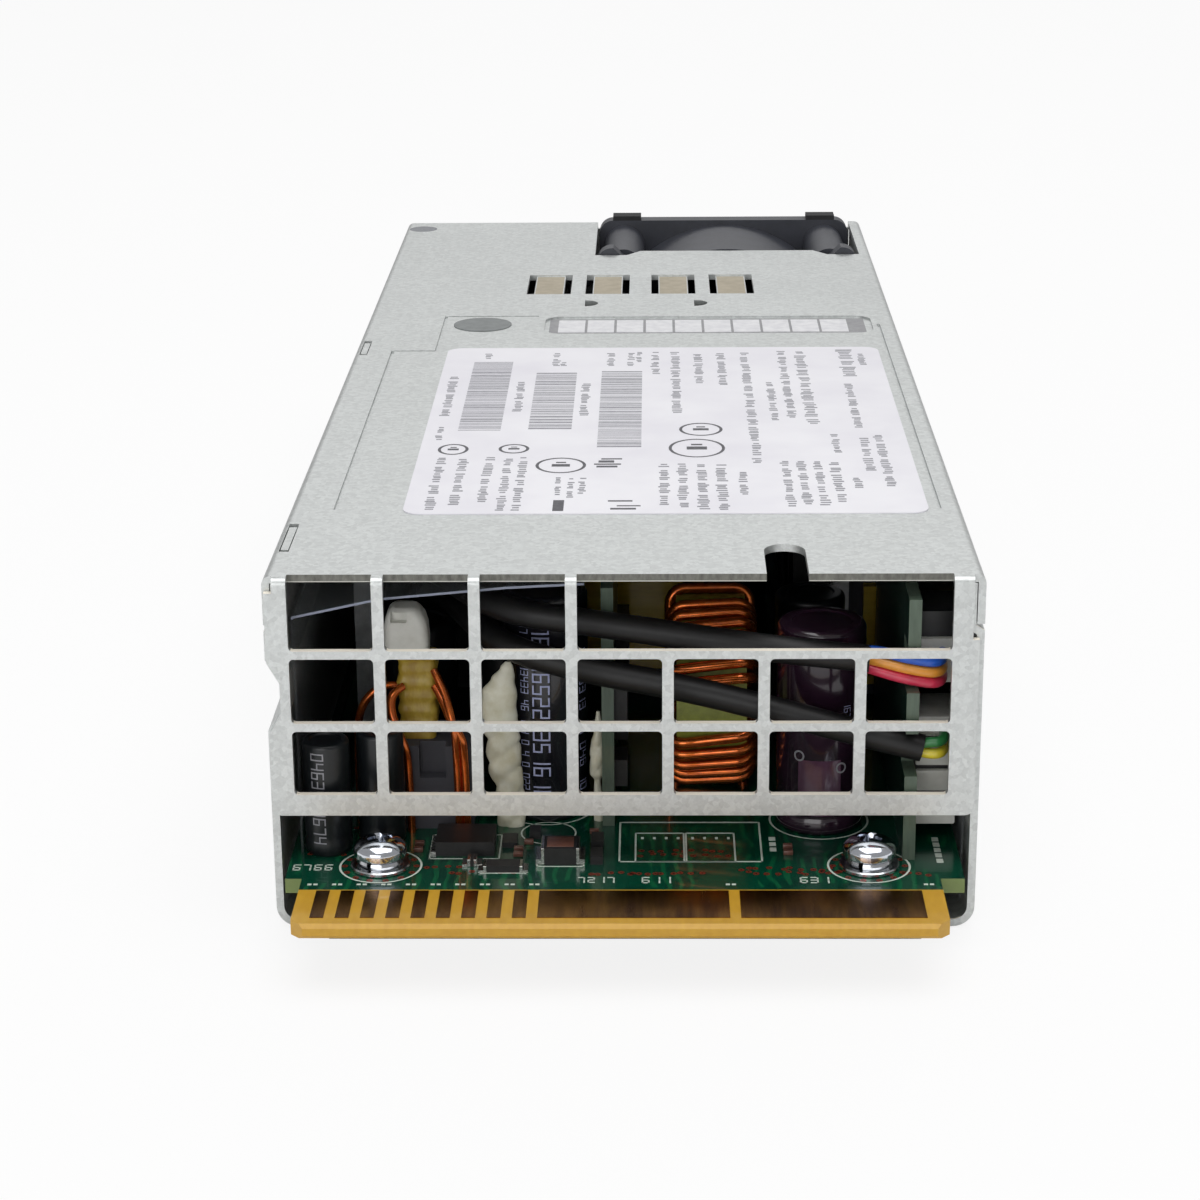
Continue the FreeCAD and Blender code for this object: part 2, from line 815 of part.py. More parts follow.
def chassis_tray():
    """Floor and two walls folded from one sheet, with the guide groove pressed into the left wall."""
    deep = "wall_in - groove_depth"
    outline = [
        ("-lip_out", "lip_top"),
        ("-lip_out", "joggle_top"),
        ("-half", "joggle_low"),
        ("-half", "groove_top"),
        ("-half + groove_depth", "groove_top - groove_slope"),
        ("-half + groove_depth", "groove_low + groove_slope"),
        ("-half", "groove_low"),
        ("-half", "0"),
        ("half", "0"),
        ("half", "joggle_low"),
        ("lip_out", "joggle_top"),
        ("lip_out", "lip_top"),
        ("lip_in", "lip_top"),
        ("lip_in", "joggle_top - joggle_ease"),
        ("wall_in", "joggle_low - joggle_ease"),
        ("wall_in", "sheet_gauge"),
        ("-wall_in", "sheet_gauge"),
        ("-wall_in", "groove_low - groove_ease"),
        (f"-({deep})", "groove_low + groove_slope - groove_ease"),
        (f"-({deep})", "groove_top - groove_slope + groove_ease"),
        ("-wall_in", "groove_top + groove_ease"),
        ("-wall_in", "joggle_low - joggle_ease"),
        ("-lip_in", "joggle_top - joggle_ease"),
        ("-lip_in", "lip_top"),
    ]
    tray = Shaped("tray").pad("XZ_Plane", [outline], ("wall_front", "rear"))
    lip = "wall_in - floor_lip_margin"
    tray.pad("XY_Plane", [rectangle((f"-({lip})", lip), ("front - floor_lip_reach", "wall_front"))],
             ("0", "sheet_gauge"))
    for middle, length in (("tab_front_place", "tab_front_length"), ("tab_rear_place", "tab_rear_length")):
        ends = (f"front + {middle} - {length} / 2", f"front + {middle} + {length} / 2")
        tray.pad("XY_Plane", [rectangle(("-lip_out", "-lip_in"), ends)],
                 ("lip_top", "case_height - sheet_gap"))
    half, inner, gauge = value("half"), value("wall_in"), value("sheet_gauge")
    tray.ease("Fillet", "tray_bend_radius", lambda a, b: runs_along("Y", a, b)
              and near(abs(a.x), half) and near(a.z, 0))
    tray.ease("Fillet", "bend_inner", lambda a, b: runs_along("Y", a, b)
              and near(abs(a.x), inner) and near(a.z, gauge))
    tray.pocket("XY_Plane", [fan_cutout("1")], ("-1", "sheet_gauge + 0.5"))
    slot = rectangle(("hook_front - seat_gap", "hook_back + 2 * seat_gap"),
                     ("hook_base - 0.2", "hook_top + 0.2"))
    tray.pocket("YZ_Plane", [slot], ("-half - 1", "-wall_in + 0.1"))
    NODES["chassis_tray"] = cut("tray_drilled", tray.body, case_screw_holes("tray", (1, 2, 3)))


def window_rows(cover):
    """The grille's openings: two full rows, and a top row that cuts back through the bend."""

    def span_of(first, last):
        return (f"window_left + {first} * window_pitch",
                f"window_left + {last} * window_pitch + window_width")

    for row in (0, 1):
        low = f"row_base + {row} * row_pitch"
        windows = [rectangle(span_of(k, k), (low, f"{low} + window_height")) for k in range(7)]
        cover.pocket("XZ_Plane", windows, ("front - 1", "grille_back + 0.3"))
    top = ("row_base + 2 * row_pitch", "case_height + 1")
    windows = [rectangle(span_of(first, last), top) for first, last in ((0, 0), (1, 1), (2, 2), (3, 6))]
    cover.pocket("XZ_Plane", windows, ("front - 1", "front + bend_setback"))
    low, high = value("row_base") - 0.1, value("lid_under") - 0.1
    left, right = value("grille_left") + 1.2, value("grille_right") - 0.5
    face, back = value("front"), value("grille_back")
    cover.ease("Fillet", "window_corner", lambda a, b: runs_along("Y", a, b)
               and low < a.z < high and left < a.x < right
               and near(min(a.y, b.y), face) and near(max(a.y, b.y), back))


def pressed_details(cover):
    """Coined outlines, the sunk pill, four lanced bridges and the slots for the tray's tabs."""
    side, far = "-half + panel_left_margin", "half - panel_right_margin"
    jog = f"{side} + panel_jog_width"
    front, bend, back = from_front("panel_front"), from_front("panel_jog"), from_front("panel_rear")
    end = "-half + pill_left_margin - 1"
    wide = "coin_width / 2"
    coin = [
        (f"{side} - {wide}", front),
        (f"{side} - {wide}", f"{bend} + {wide}"),
        (f"{jog} - {wide}", f"{bend} + {wide}"),
        (f"{jog} - {wide}", f"{back} + {wide}"),
        (end, f"{back} + {wide}"),
        (end, f"{back} - {wide}"),
        (f"{jog} + {wide}", f"{back} - {wide}"),
        (f"{jog} + {wide}", f"{bend} - {wide}"),
        (f"{side} + {wide}", f"{bend} - {wide}"),
        (f"{side} + {wide}", front),
    ]
    straight = rectangle((f"{far} - {wide}", f"{far} + {wide}"),
                         (front, from_front("pill_front + pill_length / 2")))
    cover.pocket("XY_Plane", [coin, straight], ("case_height - coin_depth", "case_height + 1"))
    pill = rectangle(("-half + pill_left_margin", "half - pill_right_margin"),
                     (from_front("pill_front"), from_front("pill_front + pill_length")))
    cover.pocket("XY_Plane", [pill], ("case_height - pill_depth", "case_height + 1"))
    ends = (value("-half + pill_left_margin"), value("half - pill_right_margin"))
    cover.ease("Fillet", "pill_corner", lambda a, b: runs_along("Z", a, b)
               and (near(a.x, ends[0]) or near(a.x, ends[1]))
               and near(max(a.z, b.z), value("case_height")) and a.y > value(from_front("pill_front - 1")))
    rows = (from_front("lance_front"), from_front("lance_front + lance_length"))
    middles = [f"lance_centre + {sign} * {name}" for sign, name in
               ((-1, "lance_outer"), (-1, "lance_inner"), (1, "lance_inner"), (1, "lance_outer"))]
    bridges = [rectangle((f"{x} - lance_bridge / 2 - 0.05", f"{x} + lance_bridge / 2 + 0.05"), rows)
               for x in middles]
    cover.pad("XY_Plane", bridges, ("lid_under - lance_drop", "lid_under"))
    cover.pocket("XY_Plane", bridges, ("case_height - lance_drop", "case_height + 1"))
    slots = []
    for x in middles:
        slots.append(rectangle((f"{x} - lance_bridge / 2 - lance_slot", f"{x} - lance_bridge / 2"), rows))
        slots.append(rectangle((f"{x} + lance_bridge / 2", f"{x} + lance_bridge / 2 + lance_slot"), rows))
    cover.pocket("XY_Plane", slots, ("lid_under - lance_drop - 1", "case_height + 1"))
    tabs = []
    for middle, length in (("tab_front_place", "tab_front_length"), ("tab_rear_place", "tab_rear_length")):
        reach = f"({length} / 2 + tab_play)"
        tabs.append(rectangle(("-wall_in", "-wall_in + tab_slot_width"),
                              (f"front + {middle} - {reach}", f"front + {middle} + {reach}")))
    cover.pocket("XY_Plane", tabs, ("lid_under - 1", "case_height + 1"))


def top_cover():
    """Top sheet with its two skirts and the grille, folded from one sheet."""
    channel = [
        ("-half", "skirt_bottom"),
        ("-half", "case_height"),
        ("half", "case_height"),
        ("half", "skirt_bottom"),
        ("wall_in", "skirt_bottom"),
        ("wall_in", "lid_under"),
        ("-wall_in", "lid_under"),
        ("-wall_in", "skirt_bottom"),
    ]
    cover = Shaped("cover").pad("XZ_Plane", [channel], ("wall_front", "rear"))
    half, top, face, foot = value("half"), value("case_height"), value("front"), value("mouth_height")
    cover.ease("Fillet", "cover_bend_radius", lambda a, b: runs_along("Y", a, b)
               and near(a.z, top) and near(abs(a.x), half))
    bend_left = "-half + cover_bend_radius + sheet_gap"
    cover.pad("XZ_Plane", [rectangle((bend_left, "grille_right"), ("lid_under", "case_height"))],
              ("front", "wall_front"))
    step = "case_height - grille_step_below"
    low_right = "half - grille_right_lower_inset"
    flange = [
        (bend_left, "lid_under"),
        (bend_left, "lid_under - sheet_gauge"),
        ("grille_left", "lid_under - sheet_gauge"),
        ("grille_left", "groove_top"),
        ("-half + groove_depth", "groove_top - groove_slope"),
        ("-half + groove_depth", "groove_low + groove_slope"),
        ("grille_left", "groove_low"),
        ("grille_left", "mouth_height"),
        (low_right, "mouth_height"),
        (low_right, step),
        ("grille_right", step),
        ("grille_right", "lid_under"),
    ]
    cover.pad("XZ_Plane", [flange], ("front", "grille_back"))
    cover.ease("Fillet", "grille_bend_radius", lambda a, b: runs_along("X", a, b)
               and near(a.z, top) and near(a.y, face))
    cover.ease("Fillet", "1.2 * sheet_gauge", lambda a, b: runs_along("Y", a, b) and near(a.z, foot))
    window_rows(cover)
    tip = f"{from_front('notch_length')} - notch_width / 2"
    cover.pocket("XY_Plane",
                 [rectangle(("notch_place - notch_width / 2", "notch_place + notch_width / 2"),
                            ("front - 1", tip))], ("lid_under - 1", "case_height + 1"))
    cover.pocket("XY_Plane", [("notch_place", tip, "notch_width / 2")], ("lid_under - 1", "case_height + 1"))
    pressed_details(cover)
    cover.pocket("XY_Plane", [fan_cutout("1")], ("lid_under - 1", "case_height + 1"))
    moons = []
    for sign in (-1, 1):
        x = f"1.2 + {sign} * moon_spacing / 2"
        y = from_front("moon_place")
        whole = rod(f"moon{sign + 1}", "Z", "moon_radius", (x, y, "lid_under - 1"), "sheet_gauge + 2")
        right = block(f"moon_half{sign + 1}", (x, f"{x} + moon_radius + 1"),
                      (f"{y} - moon_radius - 1", f"{y} + moon_radius + 1"),
                      ("lid_under - 1", "case_height + 1"))
        moons.append(common(f"moon_hole{sign + 1}", whole, right))
    holes = case_screw_holes("cover", (0,)) + moons
    NODES["top_cover"] = cut("cover_drilled", cover.body, holes)


def honeycomb():
    """Hexagonal holes on a triangular grid inside the fan's bore."""
    cell, web = "honeycomb_cell", "honeycomb_web"
    pitch = value("honeycomb_cell + honeycomb_web")
    reach = value("fan_bore") - value("honeycomb_cell") / 2 - 0.3
    rows = int(reach / (pitch * math.sqrt(3) / 2)) + 1
    holes = []
    for row in range(-rows, rows + 1):
        for column in range(-rows, rows + 1):
            across = column + (row % 2) / 2
            if math.hypot(across * pitch, row * pitch * math.sqrt(3) / 2) > reach:
                continue
            at = (f"fan_middle + ({across}) * ({cell} + {web})", "panel_face - 1",
                  f"fan_half + ({row}) * ({cell} + {web}) * sqrt(3) / 2")
            hole = hexagon(f"cell_{row + rows}_{column + rows}", "Y", cell, at, "sheet_gauge + 2")
            hole.Placement = FreeCAD.Placement(hole.Placement.Base,
                                               TURNS["Y"].multiply(Rotation(Vector(0, 0, 1), 30)))
            place(hole, at)
            holes.append(hole)
    return holes


def rear_panel():
    """Rear wall between the tray's sides, with its flanges, the fan's honeycomb and every cut-out."""
    low, high = "panel_low_half", "panel_high_half"
    groove = "-wall_in + groove_depth + sheet_gap"
    outline = [
        (f"-{low} + bend_inner", "panel_base"),
        (f"{low} - bend_inner", "panel_base"),
        (low, "panel_base + bend_inner"),
        (low, "joggle_low - joggle_ease - sheet_gap"),
        (high, "joggle_low - joggle_ease - sheet_gap"),
        (high, "panel_top"),
        (f"-{high}", "panel_top"),
        (f"-{high}", "groove_top + groove_ease + sheet_gap"),
        (groove, "groove_top + groove_ease + sheet_gap"),
        (groove, "groove_low - groove_ease - sheet_gap"),
        (f"-{low}", "groove_low - groove_ease - sheet_gap"),
        (f"-{low}", "panel_base + bend_inner"),
    ]
    panel = Shaped("panel").pad("XZ_Plane", [outline], ("panel_face", "panel_back"))
    depth = ("panel_face - 1.6 * case_screw_from_rear", "panel_face")
    panel.pad("XZ_Plane", [rectangle((f"{low} - sheet_gauge", low), ("3.5", "joggle_low - 1.5"))], depth)
    panel.pad("XZ_Plane", [rectangle((f"-{low}", f"-{low} + sheet_gauge"),
                                     ("3.5", "groove_low - 1.5"))], depth)
    panel.pad("XZ_Plane", [rectangle(("-half + 2.3", "-half + 7.5"),
                                     ("panel_top - sheet_gauge", "panel_top"))], depth)
    through = ("panel_face - 0.5", "panel_back + 1")
    wide, tall = "(inlet_width / 2 + seat_gap / 3)", "(inlet_tall / 2 + seat_gap / 3)"
    panel.pocket("XZ_Plane", [
        rectangle((f"inlet_middle - {wide}", f"inlet_middle + {wide}"),
                  (f"inlet_height - {tall}", f"inlet_height + {tall}")),
        rectangle(("lever_out - 0.8", "lever_out - 0.8 + latch_slot_width"),
                  ("latch_base - seat_gap", "latch_top + seat_gap")),
    ], through)
    round_holes = [("light_place", "light_height", "light_radius + 0.02")]
    for level in handle_levels():
        round_holes.append(("handle_middle", level, "screw_radius + screw_play"))
    for x, z in fan_hole_places():
        round_holes.append((x, z, "fan_hole_radius"))
    panel.pocket("XZ_Plane", round_holes, through)
    tools = case_screw_holes("panel", (0, 1, 2, 3)) + honeycomb()
    NODES["rear_panel"] = cut("panel_pierced", panel.body, tools)


def case_screws():
    """Four countersunk screws that hold cover, tray and rear panel together."""
    node("case_screws", [countersunk(f"case_screw{k}", *CASE_SCREWS[k], "0") for k in range(4)])


def stickers():
    """Blank label, blank revision strip and a grey seal dot on the cover."""
    top = ("case_height", "case_height + sticker_gauge")
    label = Shaped("label").pad("XY_Plane", [rectangle(
        ("-half + label_left", "half - label_right"),
        (from_front("label_front"), from_front("label_front + label_length")))], top)
    label.ease("Fillet", "label_corner", lambda a, b: runs_along("Z", a, b))
    NODES["rating_label"] = label.body
    squares = []
    left, right = "(-half + pill_left_margin + strip_end)", "(half - pill_right_margin - 1.6 * strip_end)"
    step = f"(({right}) - {left}) / 10"
    for k in range(10):
        squares.append(block(
            f"square{k}", (f"{left} + {k} * {step}", f"{left} + {k + 1} * {step} - square_count_gap"),
            (from_front("pill_front + strip_side"), from_front("pill_front + pill_length - strip_side")),
            ("case_height - pill_depth", "case_height - pill_depth + sticker_gauge")))
    node("revision_strip", squares)
    node("seal_dot", rod("dot", "Z", "dot_radius", ("-half + dot_left", from_front("dot_place"),
                                                    "case_height"), "sticker_gauge"))


# ---------------------------------------------------------------------------------------------
# Main board
# ---------------------------------------------------------------------------------------------

def board_screw_places():
    """Centres of the main board's screws: two in front, two at the rear."""
    return [(f"{side} * screw_place", row) for row in ("screw_row", "rear_screw_row") for side in (-1, 1)]


def main_board():
    """Board with its card-edge tongue, the gold contacts on both faces, and its screws."""
    outline = [
        ("-board_half", "board_rear"),
        ("-board_half", "board_front"),
        ("tongue_left", "board_front"),
        ("tongue_left", "tongue_tip + tongue_chamfer"),
        ("tongue_left + tongue_chamfer", "tongue_tip"),
        ("tongue_right - tongue_chamfer", "tongue_tip"),
        ("tongue_right", "tongue_tip + tongue_chamfer"),
        ("tongue_right", "board_front"),
        ("board_half", "board_front"),
        ("board_half", "board_rear"),
    ]
    board = Shaped("board").pad("XY_Plane", [outline], ("board_level", "board_top"))
    tip = value("tongue_tip")
    board.ease("Chamfer", "tongue_bevel", lambda a, b: near(a.y, tip) and near(b.y, tip)
               and runs_along("X", a, b))
    holes = [(x, y, "screw_radius + screw_play") for x, y in board_screw_places()]
    board.pocket("XY_Plane", holes, ("board_level - 1", "board_top + 1"))
    NODES["main_board"] = board.body
    spans = [(f"contact_left + {k} * contact_pitch", f"contact_left + {k} * contact_pitch + contact_width")
             for k in range(9)]
    spans.append(("power_contact_left", "ground_contact_left - contact_split"))
    spans.append(("ground_contact_left", "ground_contact_left + ground_contact"))
    length = ("contact_front", "contact_front + contact_length")
    contacts = []
    for k, span in enumerate(spans):
        contacts.append(block(f"contact_top{k}", span, length, ("board_top", "board_top + contact_gauge")))
        contacts.append(block(f"contact_low{k}", span, length,
                              ("board_level - contact_gauge", "board_level")))
    node("edge_contacts", contacts)


def pan_screw(name, x, y, head_base, shank):
    """A vertical pan-head screw whose head sits at head_base and whose shank reaches down."""
    return fuse(name, [
        rod(f"{name}_shank", "Z", "screw_radius", (x, y, f"{head_base} - ({shank})"), shank),
        rod(f"{name}_head", "Z", "screw_head_radius", (x, y, head_base), "screw_head_height / 2"),
        cone(f"{name}_dome", "Z", "screw_head_radius", "screw_head_radius * 0.6",
             (x, y, f"{head_base} + screw_head_height / 2"), "screw_head_height / 2"),
    ])


def board_fixings():
    """Screws with flat and spring washers, on hexagonal standoffs riveted to the floor."""
    screws, washers, posts = [], [], []
    seat = "board_top + flat_washer_gauge"
    head = f"{seat} + lock_washer_gauge"
    for k, (x, y) in enumerate(board_screw_places()):
        shank = "board_gauge + flat_washer_gauge + lock_washer_gauge + screw_bite"
        screws.append(pan_screw(f"board_screw{k}", x, y, head, shank))
        play = "screw_radius + screw_play"
        washers.append(tube(f"flat_washer{k}", "Z", "flat_washer_radius", play, (x, y, "board_top"),
                            "flat_washer_gauge"))
        washers.append(tube(f"lock_washer{k}", "Z", "lock_washer_radius", play, (x, y, seat),
                            "lock_washer_gauge"))
        post = hexagon(f"post{k}", "Z", "standoff_across", (x, y, "sheet_gauge"),
                       "board_level - sheet_gauge")
        thread = rod(f"post_thread{k}", "Z", "screw_radius + 0.02",
                     (x, y, "board_level - screw_bite - 0.5"), "screw_bite + 1")
        posts.append(cut(f"standoff{k}", post, [thread]))
    node("board_screws", screws)
    node("screw_washers", washers)
    node("board_standoffs", posts)


def chip(name, x, depth, width, length, tall):
    """A small surface-mounted part, given by its centre."""
    y = from_front(depth)
    return block(name, (f"{x} - {width} / 2", f"{x} + {width} / 2"),
                 (f"{y} - {length} / 2", f"{y} + {length} / 2"), ("board_top", f"board_top + {tall}"))


def surface_parts():
    """Shunts, capacitors and the controller chip on the front of the main board."""
    node("surface_parts", [
        chip("shunt", -12.6, -1.1, 4.1, 1.9, 0.7),
        chip("coil", -6.7, 1.5, 4, 3.4, 1.9),
        chip("controller", -16.8, 4.6, 6.2, 5, 1.6),
        chip("chip_a", -15.9, 0.2, 1, 1.6, 0.8),
        chip("chip_b", -12.2, 5.6, 1.6, 2.6, 0.6),
        chip("chip_c", -9.6, 7.6, 1.2, 2, 0.8),
        chip("chip_d", -2.9, 1.2, 1.3, 2.6, 0.9),
        chip("chip_e", -2.9, 5.2, 1.3, 2.6, 0.9),
    ])


# ---------------------------------------------------------------------------------------------
# Parts that show through the grille
# ---------------------------------------------------------------------------------------------

def film():
    """Insulating sheets: one bent under the cover and down the left wall, one on the right wall."""
    gauge = "film_gauge"
    left, low = "film_left + 0.05", "board_top"
    bent = [
        (left, low),
        (left, "lid_under - 4.3"),
        ("-25", "lid_under - 2.3"),
        ("-12", "lid_under - 1.1"),
        ("-4", "lid_under - 0.7"),
        ("-4", f"lid_under - 0.7 - {gauge}"),
        ("-12", f"lid_under - 1.1 - {gauge}"),
        ("-25", f"lid_under - 2.3 - {gauge}"),
        (f"{left} + {gauge}", f"lid_under - 4.3 - 0.8 * {gauge}"),
        (f"{left} + {gauge}", low),
    ]
    span = (from_front(3), from_front("3 + film_length"))
    sheet = Shaped("film_left").pad("XZ_Plane", [bent], span)
    side = ("board_half + 0.2", f"board_half + 0.2 + {gauge}")
    flat = block("film_right", side, span, ("tray_bend_radius + 0.1", "joggle_low - 1"))
    node("insulating_film", [sheet.body, flat])


def can(name, x, depth, radius, height, base="board_top"):
    """An upright aluminium capacitor with a rounded shoulder and a sunk, scored vent at the top."""
    y = from_front(depth)
    shoulder = f"({radius}) * 0.16"
    return fuse(name, [
        rod(f"{name}_body", "Z", radius, (x, y, base), f"{height} - {shoulder}"),
        cone(f"{name}_shoulder", "Z", radius, f"{radius} - {shoulder}",
             (x, y, f"{base} + {height} - {shoulder}"), shoulder),
    ])


def front_capacitors():
    """Two small cans beside the left screw, a tall black can, and the purple sleeved one."""
    small = ("small_can_radius", "small_can_height")
    node("small_capacitors", [
        can("small_a", "-half + 5.45", 4.2, *small),
        can("small_b", "-half + 10.9", 6.8, *small),
    ])
    node("tall_capacitor", can("tall", "-8.6", 15.5, "tall_can_radius", "tall_can_height"))
    node("purple_capacitor", can("purple", "20.9", 11.8, "purple_can_radius", "purple_can_height"))
    cans = [can(f"output{k}", x, depth, "can_radius", "can_height")
            for k, (x, depth) in enumerate([(-23, 27), (-13.5, 28), (-13.5, 38), (21, 26), (21, 36)])]
    node("output_capacitors", cans)


def filter_choke():
    """Ferrite block, a taped coil standing on it, its copper leads and the white plug on top."""
    x, y, block_x = "(-half + 14.6)", from_front(13.5), "(-half + 16.2)"
    half, deep = "filter_core_width / 2", "filter_core_depth / 2"
    body = block("filter_block", (f"{block_x} - {half}", f"{block_x} + {half}"),
                 (f"{y} - {deep}", f"{y} + {deep}"), ("board_top", "board_top + filter_core_height"))
    mouth = block("filter_mouth", (f"{block_x} - {half} / 3", f"{block_x} + {half} / 3"),
                  (f"{y} - {deep} - 1", f"{y} - {deep} + 1.6"),
                  ("board_top + filter_core_height * 0.62", "board_top + filter_core_height + 1"))
    node("filter_choke_core", cut("filter_core", body, [mouth]))
    base = "(board_top + filter_core_height)"
    wide = "filter_coil_width / 2"
    crown = f"{base} + filter_coil_height"
    node("filter_choke_coil", block("filter_tape", (f"{x} - {wide}", f"{x} + {wide}"),
                                    (f"{y} - {wide}", f"{y} + {wide}"), (base, crown)))
    node("white_plug", fuse("plug_blob", [
        block("plug_foot", (f"{x} - {wide} - 1.4", f"{x} + {wide} - 0.8"), (f"{y} - {wide}", f"{y} + {wide}"),
              (crown, f"{crown} + 4.6")),
        cone("plug_top", "Z", wide, f"{wide} * 0.8", (f"{x} - 1.1", y, f"{crown} + 4.6"), "1"),
    ]))
    middle, radius, foot = value(x), value("filter_wire") / 2, value("board_top")
    row, face = value(y), value(f"{y} - {deep}") - value("filter_wire")
    side = value(wide) + radius + 0.02
    runs = []
    for k in range(2):
        out = middle + 4.9 + 1.05 * k
        runs.append(wire_run(f"filter_lead{k}", [
            (out, face, foot), (out, face, foot + 11 + k),
            (middle + side + 1.6 + k, face + 1.6, foot + 15 + k),
            (middle + side + 0.02, row - 0.8 + 1.4 * k, foot + 16.6 + 1.5 * k)], radius, 6))
    runs.append(wire_run("filter_loop", [
        (middle - 6.2, row, foot), (middle - 6.2, row, foot + 12), (middle - 5, row, foot + 17),
        (middle - side - 0.05, row, foot + 17.4)], radius, 6))
    node("filter_choke_leads", runs)


def winding(name, middle, angles, ring, wire):
    """Copper turns round a ring core on edge; ring is the core's outer radius, bore and width."""
    outer, bore, width = ring
    return fixed(name, [copper_loop(middle, angle, bore - 0.02 - wire, outer + 0.02 + wire,
                                    width / 2 + 0.02 + wire, wire) for angle in angles])


def output_choke():
    """Large ring core on edge, wound with thick copper wire in groups of turns."""
    x, y, z = "toroid_place", from_front("toroid_depth"), "toroid_level"
    width = "toroid_width"
    core = tube("toroid_core", "X", "toroid_radius", "toroid_bore", (f"{x} - {width} / 2", y, z), width)
    node("output_choke_core", core)
    middle = Vector(value(x), value(y), value(z))
    ring = (value("toroid_radius"), value("toroid_bore"), value(width))
    angles = [-48 + 8.2 * k for k in range(15)] + [102 + 9 * k for k in range(5)]
    angles += [180] + [212 + 10 * k for k in range(3)]
    turns = winding("toroid_turns", middle, angles, ring, value("toroid_wire"))
    feet = [block(f"toroid_foot{k}", (f"{x} {side} {width} / 2 - 0.6", f"{x} {side} {width} / 2 + 0.6"),
                  (f"{y} - 0.6", f"{y} + 0.6"), ("board_top", f"{z} - toroid_out - 0.02"))
            for k, side in enumerate("-+")]
    node("output_choke_winding", [turns, *feet])


def upright_cards():
    """Control card in the middle and supervisor card at the right, with the plugs on it."""
    x, card = "control_card_place", "card_gauge"
    front = from_front("control_card_front")
    plain = block("control_plain", (f"{x} - {card} / 2", f"{x} + {card} / 2"),
                  (front, f"{front} + control_card_length"),
                  ("board_top", "board_top + control_card_height"))
    node("control_card", plain)
    parts = []
    mounted = [(1.5, 11, 5), (1.5, 4, 3), (10, 6, 8), (20, 9, 6), (29, 5, 9)]
    for k, (depth, height, tall) in enumerate(mounted):
        y = f"{front} + {depth}"
        parts.append(block(f"control_part{k}", (f"{x} + {card} / 2", f"{x} + {card} / 2 + 1.4"),
                           (y, f"{y} + 4"), (f"board_top + {height}", f"board_top + {height + tall}")))
    node("control_card_parts", parts)
    near_edge = from_front("supervisor_front")
    deep = f"{near_edge} + card_notch_depth"
    top = "board_top + supervisor_height"
    upper = ("board_top + 18.6", "board_top + 23.6")
    lower = ("board_top + 9.4", "board_top + 14.1")
    outline = [
        (near_edge, "board_top"),
        (f"{near_edge} + supervisor_length", "board_top"),
        (f"{near_edge} + supervisor_length", top),
        (near_edge, top),
        (near_edge, upper[1]),
        (deep, upper[1]),
        (deep, upper[0]),
        (near_edge, upper[0]),
        (near_edge, lower[1]),
        (deep, lower[1]),
        (deep, lower[0]),
        (near_edge, lower[0]),
    ]
    board = Shaped("supervisor").pad("YZ_Plane", [outline], ("supervisor_left", "supervisor_right"))
    NODES["supervisor_card"] = board.body
    face = "supervisor_right"
    plugs = []
    for k, (low, high) in enumerate([(1.5, 14), (17.5, 25.5)]):
        y = f"{near_edge} + card_notch_depth + 1"
        plugs.append(block(f"plug{k}", (face, f"{face} + plug_width"), (y, f"{y} + plug_length"),
                           (f"board_top + {low}", f"board_top + {high}")))
    node("signal_plugs", plugs)


def route(points):
    """A route given by side, depth behind the grille's face, and height."""
    face = value("front")
    return [(x, face + depth, z) for x, depth, z in points]


def sleeved_cables():
    """Two black sleeved cables that cross the front to the supervisor card, and the leads they end in."""
    radius, base = value("cable_radius"), value("board_top")
    card = value("supervisor_right")
    node("upper_cable", wire_run("upper_sleeve", route([
        (-27.4, 43, base), (-27.4, 43, 21), (-25, 33, 31.6), (-20, 20.5, 32.8), (-13, 9.4, 32.3),
        (-4, 8.4, 31.4), (8, 7.4, 29.9), (card - 13.25, 4.9, 29.4), (card - 4.85, 3.9, 28.9)]), radius))
    node("lower_cable", wire_run("lower_sleeve", route([
        (-23.4, 43, base), (-23.4, 43, 19), (-22, 33, 28), (-17.6, 18.8, 29.2), (-13, 8.6, 28.7),
        (-5, 7.4, 26.6), (7, 6.3, 24.7), (card - 13.25, 4.6, 22.6), (card - 5.25, 3.7, 20.6),
        (card + 0.75, 3.4, 19.2)]), radius))
    plug_face = value("supervisor_front + card_notch_depth + 1")
    radius = value("lead_radius")
    for k, colour in enumerate(("blue", "orange", "red")):
        high = 29.4 - 1.15 * k
        node(f"{colour}_lead", wire_run(f"{colour}_wire", route([
            (card - 4.55, 3.8, 28.85 + (1 - k) * 1.12), (card - 0.85, 2.6, high - 0.1),
            (card + 2.85, 2.9, high - 0.7), (card + 2.85, plug_face, high - 0.7)]), radius, 6))
    for k, colour in enumerate(("green", "yellow")):
        high = 19.85 - 1.3 * k
        node(f"{colour}_lead", wire_run(f"{colour}_wire", route([
            (card + 1.05, 3.4, high), (card + 3.35, 3.2, high + 0.2),
            (card + 3.35, plug_face, high + 0.2)]), radius, 6))


def adhesive_beads():
    """Beads of white adhesive that steady the tall can and the control card."""
    tip = cone("bead_tip", "Z", "1.5", "0.5", ("-13.05", from_front(11.1), "24"), "2.4")
    bead = rod("bead_long", "Z", "1.5", ("-13.05", from_front(11.1), "board_top"), f"24 - board_top")
    card = rod("bead_card", "Z", "0.95", ("control_card_place - card_gauge / 2 - 1",
                                          from_front("control_card_front + 1.6"), "board_top"), "16")
    node("adhesive_beads", [fuse("bead_whole", [bead, tip]), card])


# ---------------------------------------------------------------------------------------------
# Power stage
# ---------------------------------------------------------------------------------------------

